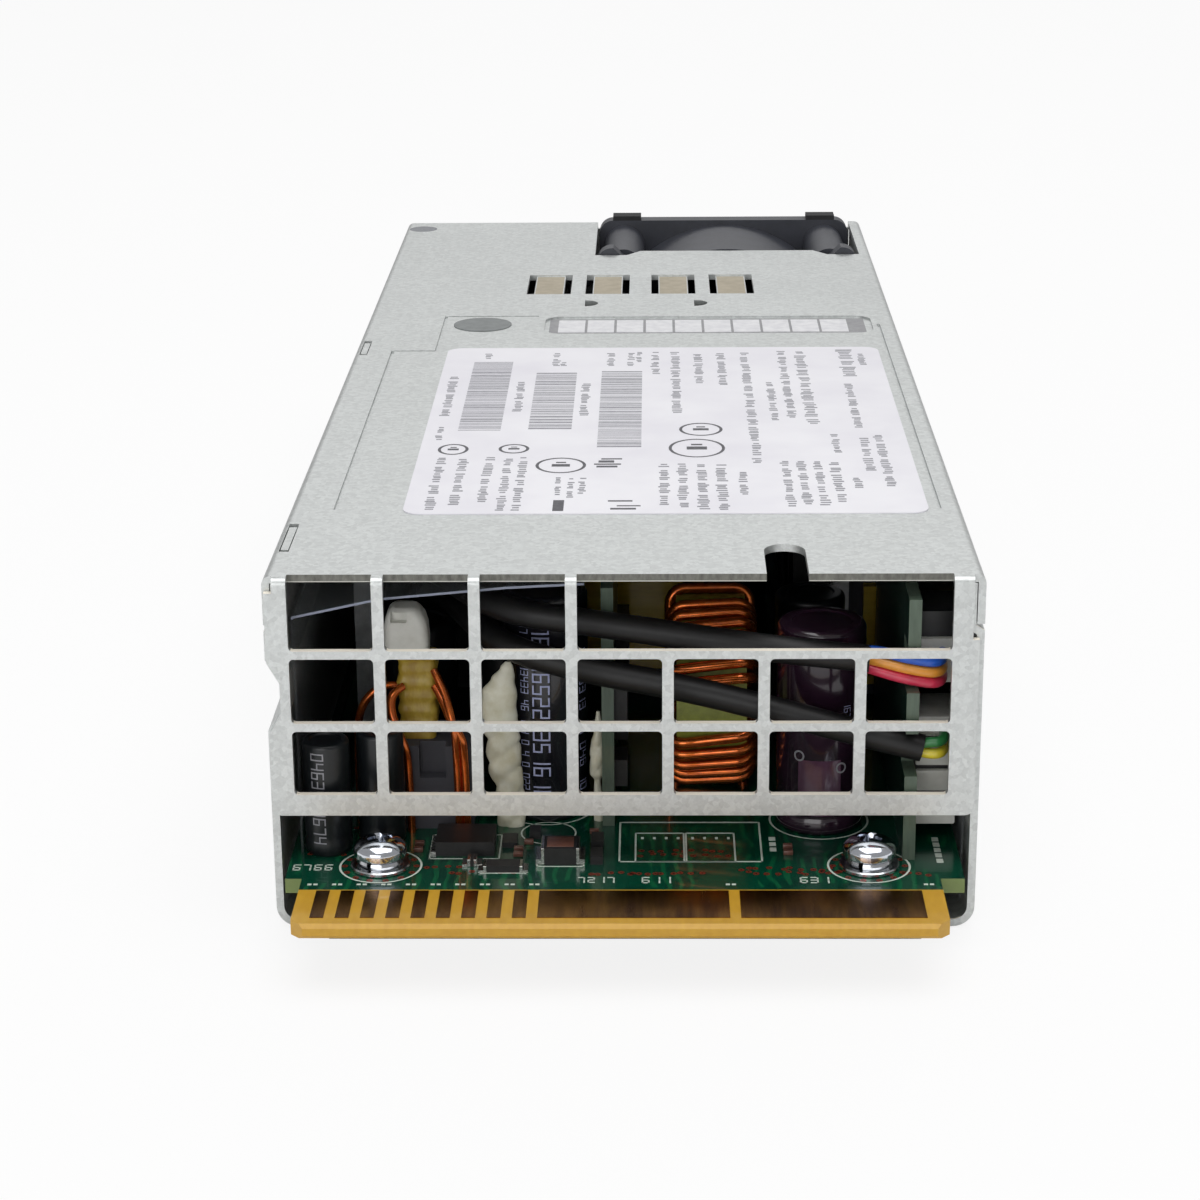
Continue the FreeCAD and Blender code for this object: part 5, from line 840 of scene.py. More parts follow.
@dataclass
class RatingLabel:
    """Blank label with generic print: rows of ticks, bar blocks and plain rings."""

    top: float = 39.12
    ink: float = 0.012
    sides: int = 40
    ring_line: float = 0.36
    chance: random.Random = field(default_factory=lambda: random.Random(7))

    # (side, near end, far end, width) of each row of small print
    rows: tuple = (
        (-22.4, 63, 83, 1.3), (-13.6, 65, 80, 1.2), (-5.4, 63, 80, 1.2), (-18.6, 92, 95.5, 1.0),
        (-9.6, 88, 95.4, 1.0), (-8.6, 88, 91, 0.8), (-2.4, 88, 95.6, 1.0), (0.2, 88, 95.6, 1.0),
        (1.3, 90, 95.6, 0.8), (-21.4, 23.5, 44.8, 1.2), (-18.8, 25.3, 44.8, 1.2), (-15.8, 26.4, 44.7, 1.2),
        (-13.6, 23.1, 44.7, 1.1), (-11.9, 23.1, 44.7, 1.1), (-7.6, 29, 36.5, 0.8), (-6.2, 28, 36, 0.8),
        (-4.9, 29.5, 36.5, 0.8), (4.3, 25.1, 41.8, 1.3), (6.4, 24.2, 41.8, 1.3), (8.6, 23.4, 41.8, 1.3),
        (10.8, 23.2, 41.8, 1.3), (13.2, 29, 38.5, 1.1), (18.2, 24.4, 42.6, 1.2), (20.0, 25.2, 42.6, 1.2),
        (21.9, 24.8, 42.6, 1.2), (23.8, 26.1, 42.6, 1.2), (26.0, 31.5, 35.8, 1.0), (27.9, 38.4, 53.8, 1.2),
        (29.7, 32.1, 53.8, 1.2), (3.4, 83.6, 95.9, 1.1), (6.0, 64.1, 95.8, 1.3), (9.0, 78.7, 95.8, 1.2),
        (12.0, 77.8, 95.7, 1.2), (15.1, 41.7, 95.7, 1.2), (17.9, 60.5, 79.5, 1.1), (20.0, 61.7, 96.1, 1.2),
        (22.4, 58.8, 96.1, 1.6), (24.6, 46, 54.6, 1.0), (27.8, 57, 79, 1.1), (28.4, 82, 97, 2.2),
        (30.4, 88, 95, 1.0), (-22.4, 52, 58, 0.9))
    # (left, right, near, far) of each bar block
    bars: tuple = ((-20.3, -15.2, 56.2, 90.6), (-11.9, -6.7, 56.7, 84.6), (-3.5, 1.7, 48.6, 85.3))
    # (side, depth, half width, half length) of each ring
    rings: tuple = ((-20.3, 47.8, 1.8, 2.3), (-13.2, 48.0, 1.8, 2.0), (-7.5, 40.9, 2.9, 3.2),
                    (8.8, 56.4, 2.6, 2.9), (8.2, 48.1, 3.3, 4.0))

    # (near, far, left, right) of each loose mark
    marks: tuple = ((40.0, 40.7, -3.4, -1.0), (41.1, 41.6, -3.7, -0.6), (42.0, 42.9, -3.2, -1.4),
                    (43.3, 43.8, -2.9, -0.5), (23.4, 24.0, -1.6, 1.2), (24.6, 25.0, -0.9, 1.7),
                    (26.4, 26.9, -1.9, 0.8))
    patch: tuple = ((-7.9, -6.7), (22.9, 27.0))
    # side, depths and level of the grey sheet of painted shade under the strip
    strip: tuple = ((-11.2, 32.4), (107.2, 116.5), 38.701)
    bridge_middles: tuple = (-12.0, -3.5, 6.1, 14.6)
    bridge_half: float = 2.0
    bridge_depths: Span = (131.8, 144.2)
    bridge_top: float = 38.751

    def tick(self, bm: BMesh, x: Span, depth: Span) -> None:
        """One printed mark."""
        slab(bm, x, deep(depth), (self.top, self.top + self.ink))

    def small_print(self, bm: BMesh) -> None:
        """Rows of ticks in word-like groups.

        Args:
            bm: the mesh to add to.
        """
        for side, near, far, width in self.rows:
            at = near
            while at < far - 0.7:
                word = self.chance.randint(3, 9)
                for _ in range(word):
                    if at > far - 0.6:
                        break
                    reach = width * self.chance.uniform(0.55, 1.0) / 2
                    shift = self.chance.uniform(-0.12, 0.12)
                    self.tick(bm, (side + shift - reach, side + shift + reach), (at, at + 0.42))
                    at += self.chance.choice((0.62, 0.72, 0.86))
                at += 0.9

    def bar_blocks(self, bm: BMesh) -> None:
        """Blocks of crosswise bars of uneven thickness.

        Args:
            bm: the mesh to add to.
        """
        for left, right, near, far in self.bars:
            at = near
            while at < far - 0.5:
                thick = self.chance.choice((0.22, 0.22, 0.4, 0.55))
                self.tick(bm, (left, right), (at, at + thick))
                at += thick + self.chance.choice((0.26, 0.3, 0.45))

    def plain_rings(self, bm: BMesh) -> None:
        """Oval outlines with bars inside, and loose marks.

        Args:
            bm: the mesh to add to.
        """
        for side, depth, wide, long in self.rings:
            skin(bm, [corners(bm, [(side + (wide - grow) * c, back(depth) + (long - grow) * s,
                                    self.top + self.ink) for c, s in circle(self.sides)])
                      for grow in (0.0, self.ring_line)], caps=False)
            self.tick(bm, (side - wide * 0.36, side + wide * 0.36),
                      (depth - long * 0.16, depth + long * 0.16))
            self.tick(bm, (side - wide * 0.2, side + wide * 0.2), (depth + long * 0.3, depth + long * 0.45))
        for near, far, left, right in self.marks:
            self.tick(bm, (left, right), (near, far))

    def pill(self, bm: BMesh) -> None:
        """A grey sheet under the strip that shows between its squares, painted shade of the sunk pocket they
        sit in.
        """
        side, depths, level = self.strip
        slab(bm, side, deep(depths), (level, level + self.ink))

    def bridges(self, bm: BMesh) -> None:
        """Tarnished faces of the four lanced bridges at the rear of the cover.

        Args:
            bm: the mesh to add to.
        """
        for middle in self.bridge_middles:
            slab(bm, (middle - self.bridge_half, middle + self.bridge_half), deep(self.bridge_depths),
                 (self.bridge_top, self.bridge_top + self.ink))

    def build(self) -> None:
        """Dress the stickers and print the label."""
        dress(LABEL, "rating_label")
        dress(STRIP, "revision_strip")
        dress(DOT, "seal_dot")
        for name, build, finish, slot in (
                ("strip_recess_shade", self.pill, STRIP_RECESS_SHADE, "strip_stock"),
                ("bridge_faces", self.bridges, TARNISH, "galvanised"),
                ("label_small_print", self.small_print, PRINT, "label_stock"),
                ("label_bar_blocks", self.bar_blocks, PRINT, "label_stock"),
                ("label_rings", self.plain_rings, PRINT_DARK, "label_stock"),
                ("label_patch", lambda bm: self.tick(bm, *self.patch), PRINT_DARK, "label_stock")):
            piece(name, build, finish, smooth=False)


@dataclass
class MainBoard:
    """Main board with its legend, vias, surface parts, contacts and card-edge tongue."""

    ink: float = 0.03
    via_ink: float = 0.02
    sides: int = 56
    screw_side: float = 25.45
    screw_depth: float = -0.4
    via_circle: float = 3.75
    vias_round_screw: int = 14
    contact_pitch: float = 2.54
    dash: float = 0.42
    dash_depths: Span = (-5.2, -4.85)
    chance: random.Random = field(default_factory=lambda: random.Random(11))

    # (side, depths, line) of each outline
    outlines: tuple = (((-0.65, 14.5), (0.6, 11.2), 0.2), ((1.05, 6.35), (0.64, 8.25), 0.18),
                       ((6.4, 11.7), (0.64, 8.25), 0.18), ((-20.6, -13.1), (1.4, 7.8), 0.16),
                       ((-15.2, -10.0), (-2.3, 0.1), 0.16), ((-9.2, -4.2), (-0.6, 3.6), 0.16))
    # (side, depth, radius, line) of each circle
    circles: tuple = ((-25.45, -0.4, 4.35, 0.22), (25.45, -0.4, 4.35, 0.22), (20.9, 11.8, 5.4, 0.22),
                      (-8.6, 15.5, 5.2, 0.22), (-8.2, 8.2, 3.0, 0.18))
    # (left, depth, count, height) of each group of digits
    digits: tuple = ((-34.6, -1.5, 4, 1.3), (-4.8, -4.6, 4, 1.2), (1.8, -4.7, 3, 1.3), (18.1, -4.7, 3, 1.3))
    # (left, right, length, depths) of each column of dashes
    columns: tuple = ((32.6, 33.3, 1.0, (0.4, 1.8, 3.2, 4.6, 6.0)), (15.3, 16.0, 0.9, (3.4, 4.8, 6.2)))
    # (left, right, depth) of each row of vias
    via_rows: tuple = ((-33, -29, 2.5), (-20.5, -16, -0.6), (-18, -11, -2.0), (-3.5, 4, -2.2),
                       (1.0, 8.5, -2.2), (12, 21.5, -1.2), (13, 22.5, -2.2), (-29, -22, 9.5),
                       (1.6, 11.2, 2.4), (1.6, 11.2, 3.4), (27.5, 32, -2.4))
    # (side, depth, width, length, height) of each small part with tinned ends
    tinned: tuple = ((-12.6, -1.1, 4.1, 1.9, 0.7), (-6.7, 1.5, 4.0, 3.4, 1.9), (-15.9, 0.2, 1.0, 1.6, 0.8))
    ceramics: tuple = ((-11.2, 2.2), (-11.2, 3.6), (-10.2, 5.4), (-3.3, 8.2), (-21.8, 3.4), (-21.8, 5.0),
                       (17.2, 2.6), (17.2, 4.2))

    def mark(self, bm: BMesh, x: Span, depth: Span, thick: float | None = None) -> None:
        """A thin raised mark on the board's face."""
        slab(bm, x, deep(depth), (BOARD, BOARD + (thick or self.ink)))

    def outline(self, bm: BMesh, x: Span, depth: Span, line: float) -> None:
        """A rectangle's outline.

        Args:
            bm: the mesh to add to.
            x: its two sides.
            depth: its near and far ends.
            line: width of its line.
        """
        self.mark(bm, x, (depth[0], depth[0] + line))
        self.mark(bm, x, (depth[1] - line, depth[1]))
        self.mark(bm, (x[0], x[0] + line), depth)
        self.mark(bm, (x[1] - line, x[1]), depth)

    def ring(self, bm: BMesh, x: float, depth: float, radius: float, line: float, height: float) -> None:
        """A circle's outline."""
        skin(bm, [corners(bm, [(x + r * c, back(depth) + r * s, BOARD + height)
                               for c, s in circle(self.sides)]) for r in (radius, radius - line)], caps=False)

    def legend(self, bm: BMesh) -> None:
        """White outlines, pin dots, dashes behind the contacts and plain digits.

        Args:
            bm: the mesh to add to.
        """
        for x, depth, line in self.outlines:
            self.outline(bm, x, depth, line)
        for left in (1.7, 7.05):
            for k in range(4):
                self.mark(bm, (left + k * 1.27, left + k * 1.27 + 0.3), (6.6, 7.1))
        for x in [-32.6 + self.contact_pitch * k for k in range(10)] + [10.45, 30.75]:
            for left in (x, x + 0.62):
                self.mark(bm, (left, left + self.dash), self.dash_depths)
        for x, depth, radius, line in self.circles:
            self.ring(bm, x, depth, radius, line, self.ink)
        for left, depth, count, tall in self.digits:
            self.words(bm, left, depth, count, tall)
        for left, right, length, depths in self.columns:
            for depth in depths:
                self.mark(bm, (left, right), (depth, depth + length))

    def words(self, bm: BMesh, left: float, depth: float, count: int, tall: float) -> None:
        """A few plain digits in place of a part's designator.

        Args:
            bm: the mesh to add to.
            left: where the first digit starts.
            depth: of the digits' feet.
            count: how many digits.
            tall: height of a digit.
        """
        line = 0.17
        for k in range(count):
            x = left + 0.85 * tall * k
            for start, end, foot, head in self.chance.choice(DIGITS):
                self.mark(bm, (x + start * tall, x + end * tall + line),
                          (depth + foot * tall, depth + head * tall + line))

    def vias(self, bm: BMesh) -> None:
        """Small copper rimmed holes scattered in rows between the planes and round the screws.

        Args:
            bm: the mesh to add to.
        """
        spots = []
        for left, right, depth in self.via_rows:
            x = left
            while x < right:
                spots.append((x + self.chance.uniform(-0.2, 0.2), depth + self.chance.uniform(-0.35, 0.35)))
                x += self.chance.uniform(0.7, 1.5)
        spots += [(side * self.screw_side + self.via_circle * c, self.screw_depth + self.via_circle * s)
                  for side in (-1, 1) for c, s in circle(self.vias_round_screw)]
        for x, depth in spots:
            self.ring(bm, x, depth, 0.34, 0.24, self.via_ink)

    def surface_parts(self, bm: BMesh) -> None:
        """Tinned ends on the small parts and their solder pads.

        Args:
            bm: the mesh to add to.
        """
        for x, depth, width, length, tall in self.tinned:
            for side in (-1, 1):
                end = x + side * width / 2
                self.mark(bm, (min(end, end + side * 0.55), max(end, end + side * 0.55)),
                          (depth - length / 2, depth + length / 2), tall * 0.35)
                slab(bm, (end - 0.35 if side > 0 else end - 0.02, end + 0.02 if side > 0 else end + 0.35),
                     deep((depth - length / 2 - 0.02, depth + length / 2 + 0.02)),
                     (BOARD + 0.02, BOARD + tall + 0.02), 0.05)
        for row in range(6):
            depth = 2.6 + row * 0.8
            for left in (-20.5, -15.1):
                self.mark(bm, (left, left + 1.3), (depth, depth + 0.42), 0.3)

    def ceramic(self, bm: BMesh) -> None:
        """Brown top of the moulded choke and small ceramic parts.

        Args:
            bm: the mesh to add to.
        """
        slab(bm, (-8.1, -5.3), deep((0.2, 2.8)), (BOARD + 1.9, BOARD + 1.98), 0.03)
        for x, depth in self.ceramics:
            slab(bm, (x - 0.5, x + 0.5), deep((depth - 0.3, depth + 0.3)), (BOARD, BOARD + 0.5), 0.06)

    def build(self) -> None:
        """Dress the board and lay its details on it."""
        dress(RESIST, "main_board")
        dress(CHIP, "small_board_parts")
        dress(GOLD, "edge_contacts")
        dress(CARD, "upright_cards")
        dress(BRASS, "board_standoffs")
        piece("board_legend", self.legend, SILK, smooth=False)
        piece("board_vias", self.vias, VIA, smooth=False)
        piece("part_terminations", self.surface_parts, SOLDER, smooth=False)
        piece("ceramic_parts", self.ceramic, PART_BROWN)


@dataclass
class BoardScrews:
    """Cross recessed screws with spring and flat washers."""

    places: tuple = ((-25.45, -0.4), (25.45, -0.4), (-25.45, 145.0), (25.45, 145.0))
    head: float = 2.75
    flat: float = 3.15
    seat: float = 1.3
    coil: float = 2.05
    coil_steps: int = 44
    coil_wire: float = 0.42

    def heads(self, bm: BMesh) -> None:
        """Domed heads on short necks.

        Args:
            bm: the mesh to add to.
        """
        for x, depth in self.places:
            dome = [(self.head * math.cos(a), 0.75 + 1.35 * math.sin(a))
                    for a in (math.radians(d) for d in (0, 12, 24, 36, 48, 60, 72, 82))]
            lathe(bm, (x, back(depth), BOARD + self.seat),
                  [(1.4, -1.28), (1.4, 0.0), (self.head - 0.25, 0.0), (self.head, 0.2), *dome])

    def recess(self, bm: BMesh) -> None:
        """Crosses that are taken out of the heads.

        Args:
            bm: the mesh to add to.
        """
        for k, (x, depth) in enumerate(self.places):
            turn = Matrix.Rotation(math.radians(18 + 47 * k), 4, "Z")
            centre = Vector((x, back(depth), BOARD + self.seat))
            for long, wide in ((1.55, 0.36), (0.36, 1.55)):
                skin(bm, [corners(bm, [centre + turn @ Vector((sx * long * narrow, sy * wide * thin, level))
                                       for sx, sy in ((-1, -1), (1, -1), (1, 1), (-1, 1))])
                          for narrow, thin, level in ((0.55, 0.6, 0.9), (1.0, 1.0, 2.6))])

    def washers(self, bm: BMesh) -> None:
        """Flat washers with rolled rims under split spring washers.

        Args:
            bm: the mesh to add to.
        """
        for x, depth in self.places:
            y = back(depth)
            lathe(bm, (x, y, BOARD), [(self.flat - 0.12, 0.0), (self.flat, 0.12), (self.flat, 0.38),
                                      (self.flat - 0.12, 0.5), (1.5, 0.5)])
            path = []
            for k in range(self.coil_steps + 1):
                share = k / self.coil_steps
                turn = math.radians(250 + 350 * share)
                path.append(Vector((x + self.coil * math.cos(turn), y + self.coil * math.sin(turn),
                                    BOARD + 0.88 + 0.12 * (share - 0.5))) * MM)
            sweep(bm, path, self.coil_wire * MM, 8)

    def build(self) -> None:
        """Make the screws in place of the plain ones."""
        screws = piece("board_screw_heads", self.heads, CHROME)
        carve(screws, piece("recess_cutter", self.recess, CHROME, smooth=False))
        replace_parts(screws, "board_screws")
        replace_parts(piece("board_washers", self.washers, WASHER), "screw_washers")


@dataclass
class ToroidChoke:
    """Ring core wound with thick copper wire that leans from turn to turn."""

    side: float = 9.3
    depth: float = 22.0
    level: float = 19.2
    core: float = 10.2
    bore: float = 4.6
    width: float = 7.5
    wire: float = 1.2
    bend: float = 1.7
    foot: Span = (7.5, 7.9)
    # (first, step, count) of each run of turns, in degrees from the front
    runs: tuple = ((23.2, 8.6, 7), (104, 8.2, 5), (-12, -9, 5), (-90, 0, 1), (-122, -10, 3))
    chance: random.Random = field(default_factory=lambda: random.Random(3))

    def turn_path(self, angle: float, lean: float) -> list[Vector]:
        """Centre line of one turn: a rounded rectangle about the core's section.

        Args:
            angle: where the turn is, in degrees from the front.
            lean: how far its two sides are skewed, in degrees.

        Returns:
            Points in metres.
        """
        inner = self.bore - 0.1 - self.wire / 2
        outer = self.core + 0.06 + self.wire / 2
        side = self.width / 2 + 0.06 + self.wire / 2
        points = []
        for radial, along in rounded((inner, outer), (-side, side), self.bend):
            turn = math.radians(angle + lean * along / side)
            points.append(Vector((self.side + along, back(self.depth) - radial * math.cos(turn),
                                  self.level + radial * math.sin(turn))) * MM)
        return points

    def turns(self, bm: BMesh) -> None:
        """All turns and the two ends that go down to the board.

        Args:
            bm: the mesh to add to.
        """
        for angle in (first + step * k for first, step, count in self.runs for k in range(count)):
            path = self.turn_path(angle, self.chance.uniform(1.6, 3.4))
            sweep(bm, path, self.wire / 2 * MM, 12, closed=True)
        for side in (-1, 1):
            sweep(bm, [Vector((self.side + side * self.width / 2, back(self.depth), z)) * MM
                       for z in self.foot], self.wire / 2 * MM, 12)

    def build(self) -> None:
        """Dress the core and make its winding."""
        dress(CORE_GREEN, "output_choke_core")
        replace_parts(piece("toroid_winding", self.turns, COPPER), "output_choke_winding")


@dataclass(frozen=True)
class Can:
    """An upright can in a sleeve."""

    x: float
    depth: float
    radius: float
    height: float

    def spot(self, turn: float, level: float, lift: float) -> Spot:
        """A place on its side, by the angle from the front, the height and the lift off the sleeve."""
        out = self.radius + lift
        return self.x + out * math.sin(turn), back(self.depth) - out * math.cos(turn), level

    def turned(self, bm: BMesh) -> None:
        """A crimped neck near its foot, a rolled shoulder and a sunk top.

        Args:
            bm: the mesh to add to.
        """
        radius, roll = self.radius, self.radius * 0.16
        sleeve = [(radius * 0.9, 0.0), (radius * 0.97, 0.25), (radius, 0.7), (radius, 1.5),
                  (radius * 0.955, 1.95), (radius, 2.4)]
        crown = [(radius - roll * (1 - math.cos(turn)), self.height - roll + roll * math.sin(turn))
                 for turn in (math.radians(15 * step) for step in range(7))]
        crown += [(radius * 0.7, self.height), (radius * 0.66, self.height - 0.16)]
        lathe(bm, (self.x, back(self.depth), BOARD), sleeve + crown, 56)

    def patch(self, bm: BMesh, start: float, reach: float, z: Span, steps: int, lift: float = 0.02) -> None:
        """A patch bent round the sleeve.

        Args:
            bm: the mesh to add to.
            start, reach: where it begins and how far it goes, in radians from the front.
            z: its low and high ends.
            steps: flats across it.
            lift: off the sleeve.
        """
        columns = [corners(bm, [self.spot(start + reach * step / steps, level, lift) for level in z])
                   for step in range(steps + 1)]
        for one, two in zip(columns, columns[1:]):
            bm.faces.new((one[0], two[0], two[1], one[1]))

    def digits(self, bm: BMesh, chance: random.Random, rows: Iterable[tuple]) -> None:
        """Upright rows of plain digits.

        Args:
            bm: the mesh to add to.
            chance: picks the digits.
            rows: (angle from the front in degrees, low, high, height of the digits) of each row.
        """
        for angle, low, high, tall in rows:
            at, line = high, tall * 0.11
            while at > low:
                for start, end, foot, head in chance.choice(DIGITS):
                    middle = math.radians(angle) + ((foot + head) / 2 - 0.5) * tall / self.radius
                    wide = (head - foot) * tall + line
                    self.patch(bm, middle - wide / self.radius / 2, wide / self.radius,
                               (at - end * tall - line, at - start * tall), max(1, round(wide / 0.25)))
                at -= tall * chance.choice((0.8, 0.8, 0.8, 1.5))

    def ring(self, bm: BMesh, angle: float, level: float) -> None:
        """A small printed ring about an angle and a height.

        Args:
            bm: the mesh to add to.
            angle: from the front, in degrees.
            level: of its middle.
        """
        skin(bm, [corners(bm, [self.spot(math.radians(angle) + size * c / (self.radius + 0.02),
                                         level + size * s, 0.04) for c, s in circle(20)])
                  for size in (0.62, 0.42)], caps=False)


@dataclass
class Capacitors:
    """Cans in printed sleeves."""

    tall: Can = Can(-8.6, 15.5, 4.6, 25.5)
    purple: Can = Can(20.9, 11.8, 4.7, 23.0)
    small: Can = Can(-31.3, 4.2, 2.5, 12.5)
    # the can beside the small one, and the output cans
    others: tuple = (Can(-25.85, 6.8, 2.5, 12.5), Can(-23, 27, 4.0, 18.0), Can(-13.5, 28, 4.0, 18.0),
                     Can(-13.5, 38, 4.0, 18.0), Can(21, 26, 4.0, 18.0), Can(21, 36, 4.0, 18.0))
    tall_rows: tuple = ((-4, 9.5, 31.5, 1.7), (-27, 9.5, 31, 0.85), (62, 9, 31, 1.2), (118, 9, 30, 1.4))
    purple_rows: tuple = ((33, 20.2, 22.6, 0.8),)
    small_rows: tuple = ((-16, 9.5, 19.2, 1.3), (110, 10, 18, 0.9))
    rings: tuple = ((-31, 16.6), (25, 15.3))
    # start, reach and heights of the polarity stripe
    stripe: tuple = (-32, 57, (9.9, 16.2))
    chance: random.Random = field(default_factory=lambda: random.Random(5))

    def bright_print(self, bm: BMesh) -> None:
        """Print on the tall can and the purple can."""
        self.tall.digits(bm, self.chance, self.tall_rows)
        self.purple.digits(bm, self.chance, self.purple_rows)

    def dim_print(self, bm: BMesh) -> None:
        """Print on the small can beside the left screw."""
        self.small.digits(bm, self.chance, self.small_rows)

    def sleeve_rings(self, bm: BMesh) -> None:
        """Rings on the purple sleeve."""
        for angle, level in self.rings:
            self.purple.ring(bm, angle, level)

    def polarity(self, bm: BMesh) -> None:
        """The paler polarity stripe down the purple sleeve."""
        start, reach, heights = self.stripe
        self.purple.patch(bm, math.radians(start), math.radians(reach), heights, 12, 0.015)

    def small_cans(self, bm: BMesh) -> None:
        """The two cans beside the left screw and the row of output cans."""
        for can in (self.small, *self.others):
            can.turned(bm)

    def build(self) -> None:
        """Make the front cans and dress the rest."""
        for name, build, finish, slot, node in (
                ("small_cans", self.small_cans, SLEEVE_GREEN, "can_green", "electrolytic_capacitors"),
                ("tall_can", self.tall.turned, SLEEVE_TALL, "can_black", "tall_capacitor"),
                ("purple_can", self.purple.turned, SLEEVE_PURPLE, "can_purple", "purple_capacitor")):
            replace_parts(piece(name, build, finish), node)
        piece("sleeve_print", self.bright_print, SLEEVE_INK, smooth=False)
        piece("small_can_print", self.dim_print, PRINT, smooth=False)
        piece("purple_stripe", self.polarity, SLEEVE_STRIPE)
        piece("sleeve_rings", self.sleeve_rings, PRINT, smooth=False)
        dress(SLEEVE_TALL, "bulk_capacitors")


@dataclass
class FilterChoke:
    """Taped coil on a ferrite block, with its copper leads and white plug."""

    side: float = -22.15
    depth: float = 13.5
    coil: Span = (17.0, 26.1)
    coil_half: float = 2.05
    coil_steps: int = 24
    wire: float = 0.44
    # (level, left, right, half depth, corner) of the plug's sections from its foot up
    plug_sections: tuple = (
        (26.1, 3.0, 0.9, 1.7, 0.9), (26.4, 3.4, 1.25, 2.0, 1.0), (28.0, 3.48, 1.3, 2.05, 1.0),
        (29.6, 3.42, 1.2, 2.0, 1.0), (30.6, 3.2, 0.9, 1.9, 0.95), (31.3, 2.9, 0.45, 1.7, 0.9),
        (31.62, 2.6, 0.1, 1.4, 0.8), (31.7, 2.3, -0.2, 1.1, 0.7))
    # (side, depth, height) points of each copper end, from the coil down past the ferrite block
    routes: tuple = (
        ((-20.3, 11.6, 24.9), (-20.0, 11.2, 24.4), (-19.0, 10.2, 22.6), (-18.2, 8.6, 19.8),
         (-17.85, 8.6, 17.6), (-17.75, 8.6, 7.5)),
        ((-20.3, 11.4, 23.2), (-19.4, 10.6, 22.0), (-18.5, 8.8, 20.2), (-17.3, 8.6, 18.4),
         (-17.05, 8.6, 16.8), (-16.9, 8.6, 7.5)),
        ((-23.6, 11.2, 23.2), (-24.6, 10.4, 22.9), (-24.9, 9.6, 21.6), (-24.3, 8.6, 19.6),
         (-23.5, 8.6, 17.8), (-23.0, 8.6, 15.8), (-22.9, 8.6, 7.5)),
        ((-24.0, 13.0, 22.6), (-25.6, 12.8, 23.0), (-27.8, 12.6, 21.4), (-28.7, 12.8, 19.0),
         (-28.9, 13.2, 16.0), (-28.9, 13.5, 7.5)))

    def plug(self, bm: BMesh) -> None:
        """A soft nylon plug that narrows to a rounded crown.

        Args:
            bm: the mesh to add to.
        """
        y = back(self.depth)
        loft(bm, [(level, (self.side - left, self.side + right), (y - half, y + half), ease)
                  for level, left, right, half, ease in self.plug_sections])

    def dent(self, bm: BMesh) -> None:
        """The shallow pocket that is taken out of the plug's face."""
        slab(bm, (self.side - 2.65, self.side - 0.9), deep((self.depth - 3, self.depth - 1)),
             (30.2, 31.3), 0.15)

    def tape(self, bm: BMesh) -> None:
        """A coil wrapped in soft tape, waisted and a little uneven from wrap to wrap.

        Args:
            bm: the mesh to add to.
        """
        y, (low, high) = back(self.depth), self.coil
        sections = []
        for step in range(self.coil_steps + 1):
            level = low + (high - low) * step / self.coil_steps
            waist = max(0.0, (20 - level) / 3)
            half = self.coil_half + 0.09 * math.sin(level * 4.1) - 0.28 * waist + 0.05 * math.sin(level * 1.7)
            middle = self.side + 0.07 * math.sin(level * 2.3 + 1)
            sections.append((level, (middle - half, middle + half), (y - half, y + half), 0.75))
        loft(bm, sections)

    def build(self) -> None:
        """Make the tape, leads and plug, and dress the rest."""
        dress(FERRITE, "filter_choke_core")
        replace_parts(piece("coil_tape", self.tape, TAPE), "filter_choke_coil")
        leads = [lead(f"choke_lead_{k}", route, self.wire, COPPER)
                 for k, route in enumerate(self.routes)]
        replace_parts(leads[0], "filter_choke_leads")
        plug = piece("soft_plug", self.plug, NYLON)
        carve(plug, piece("plug_dent", self.dent, NYLON, smooth=False))
        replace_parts(plug, "white_plug")


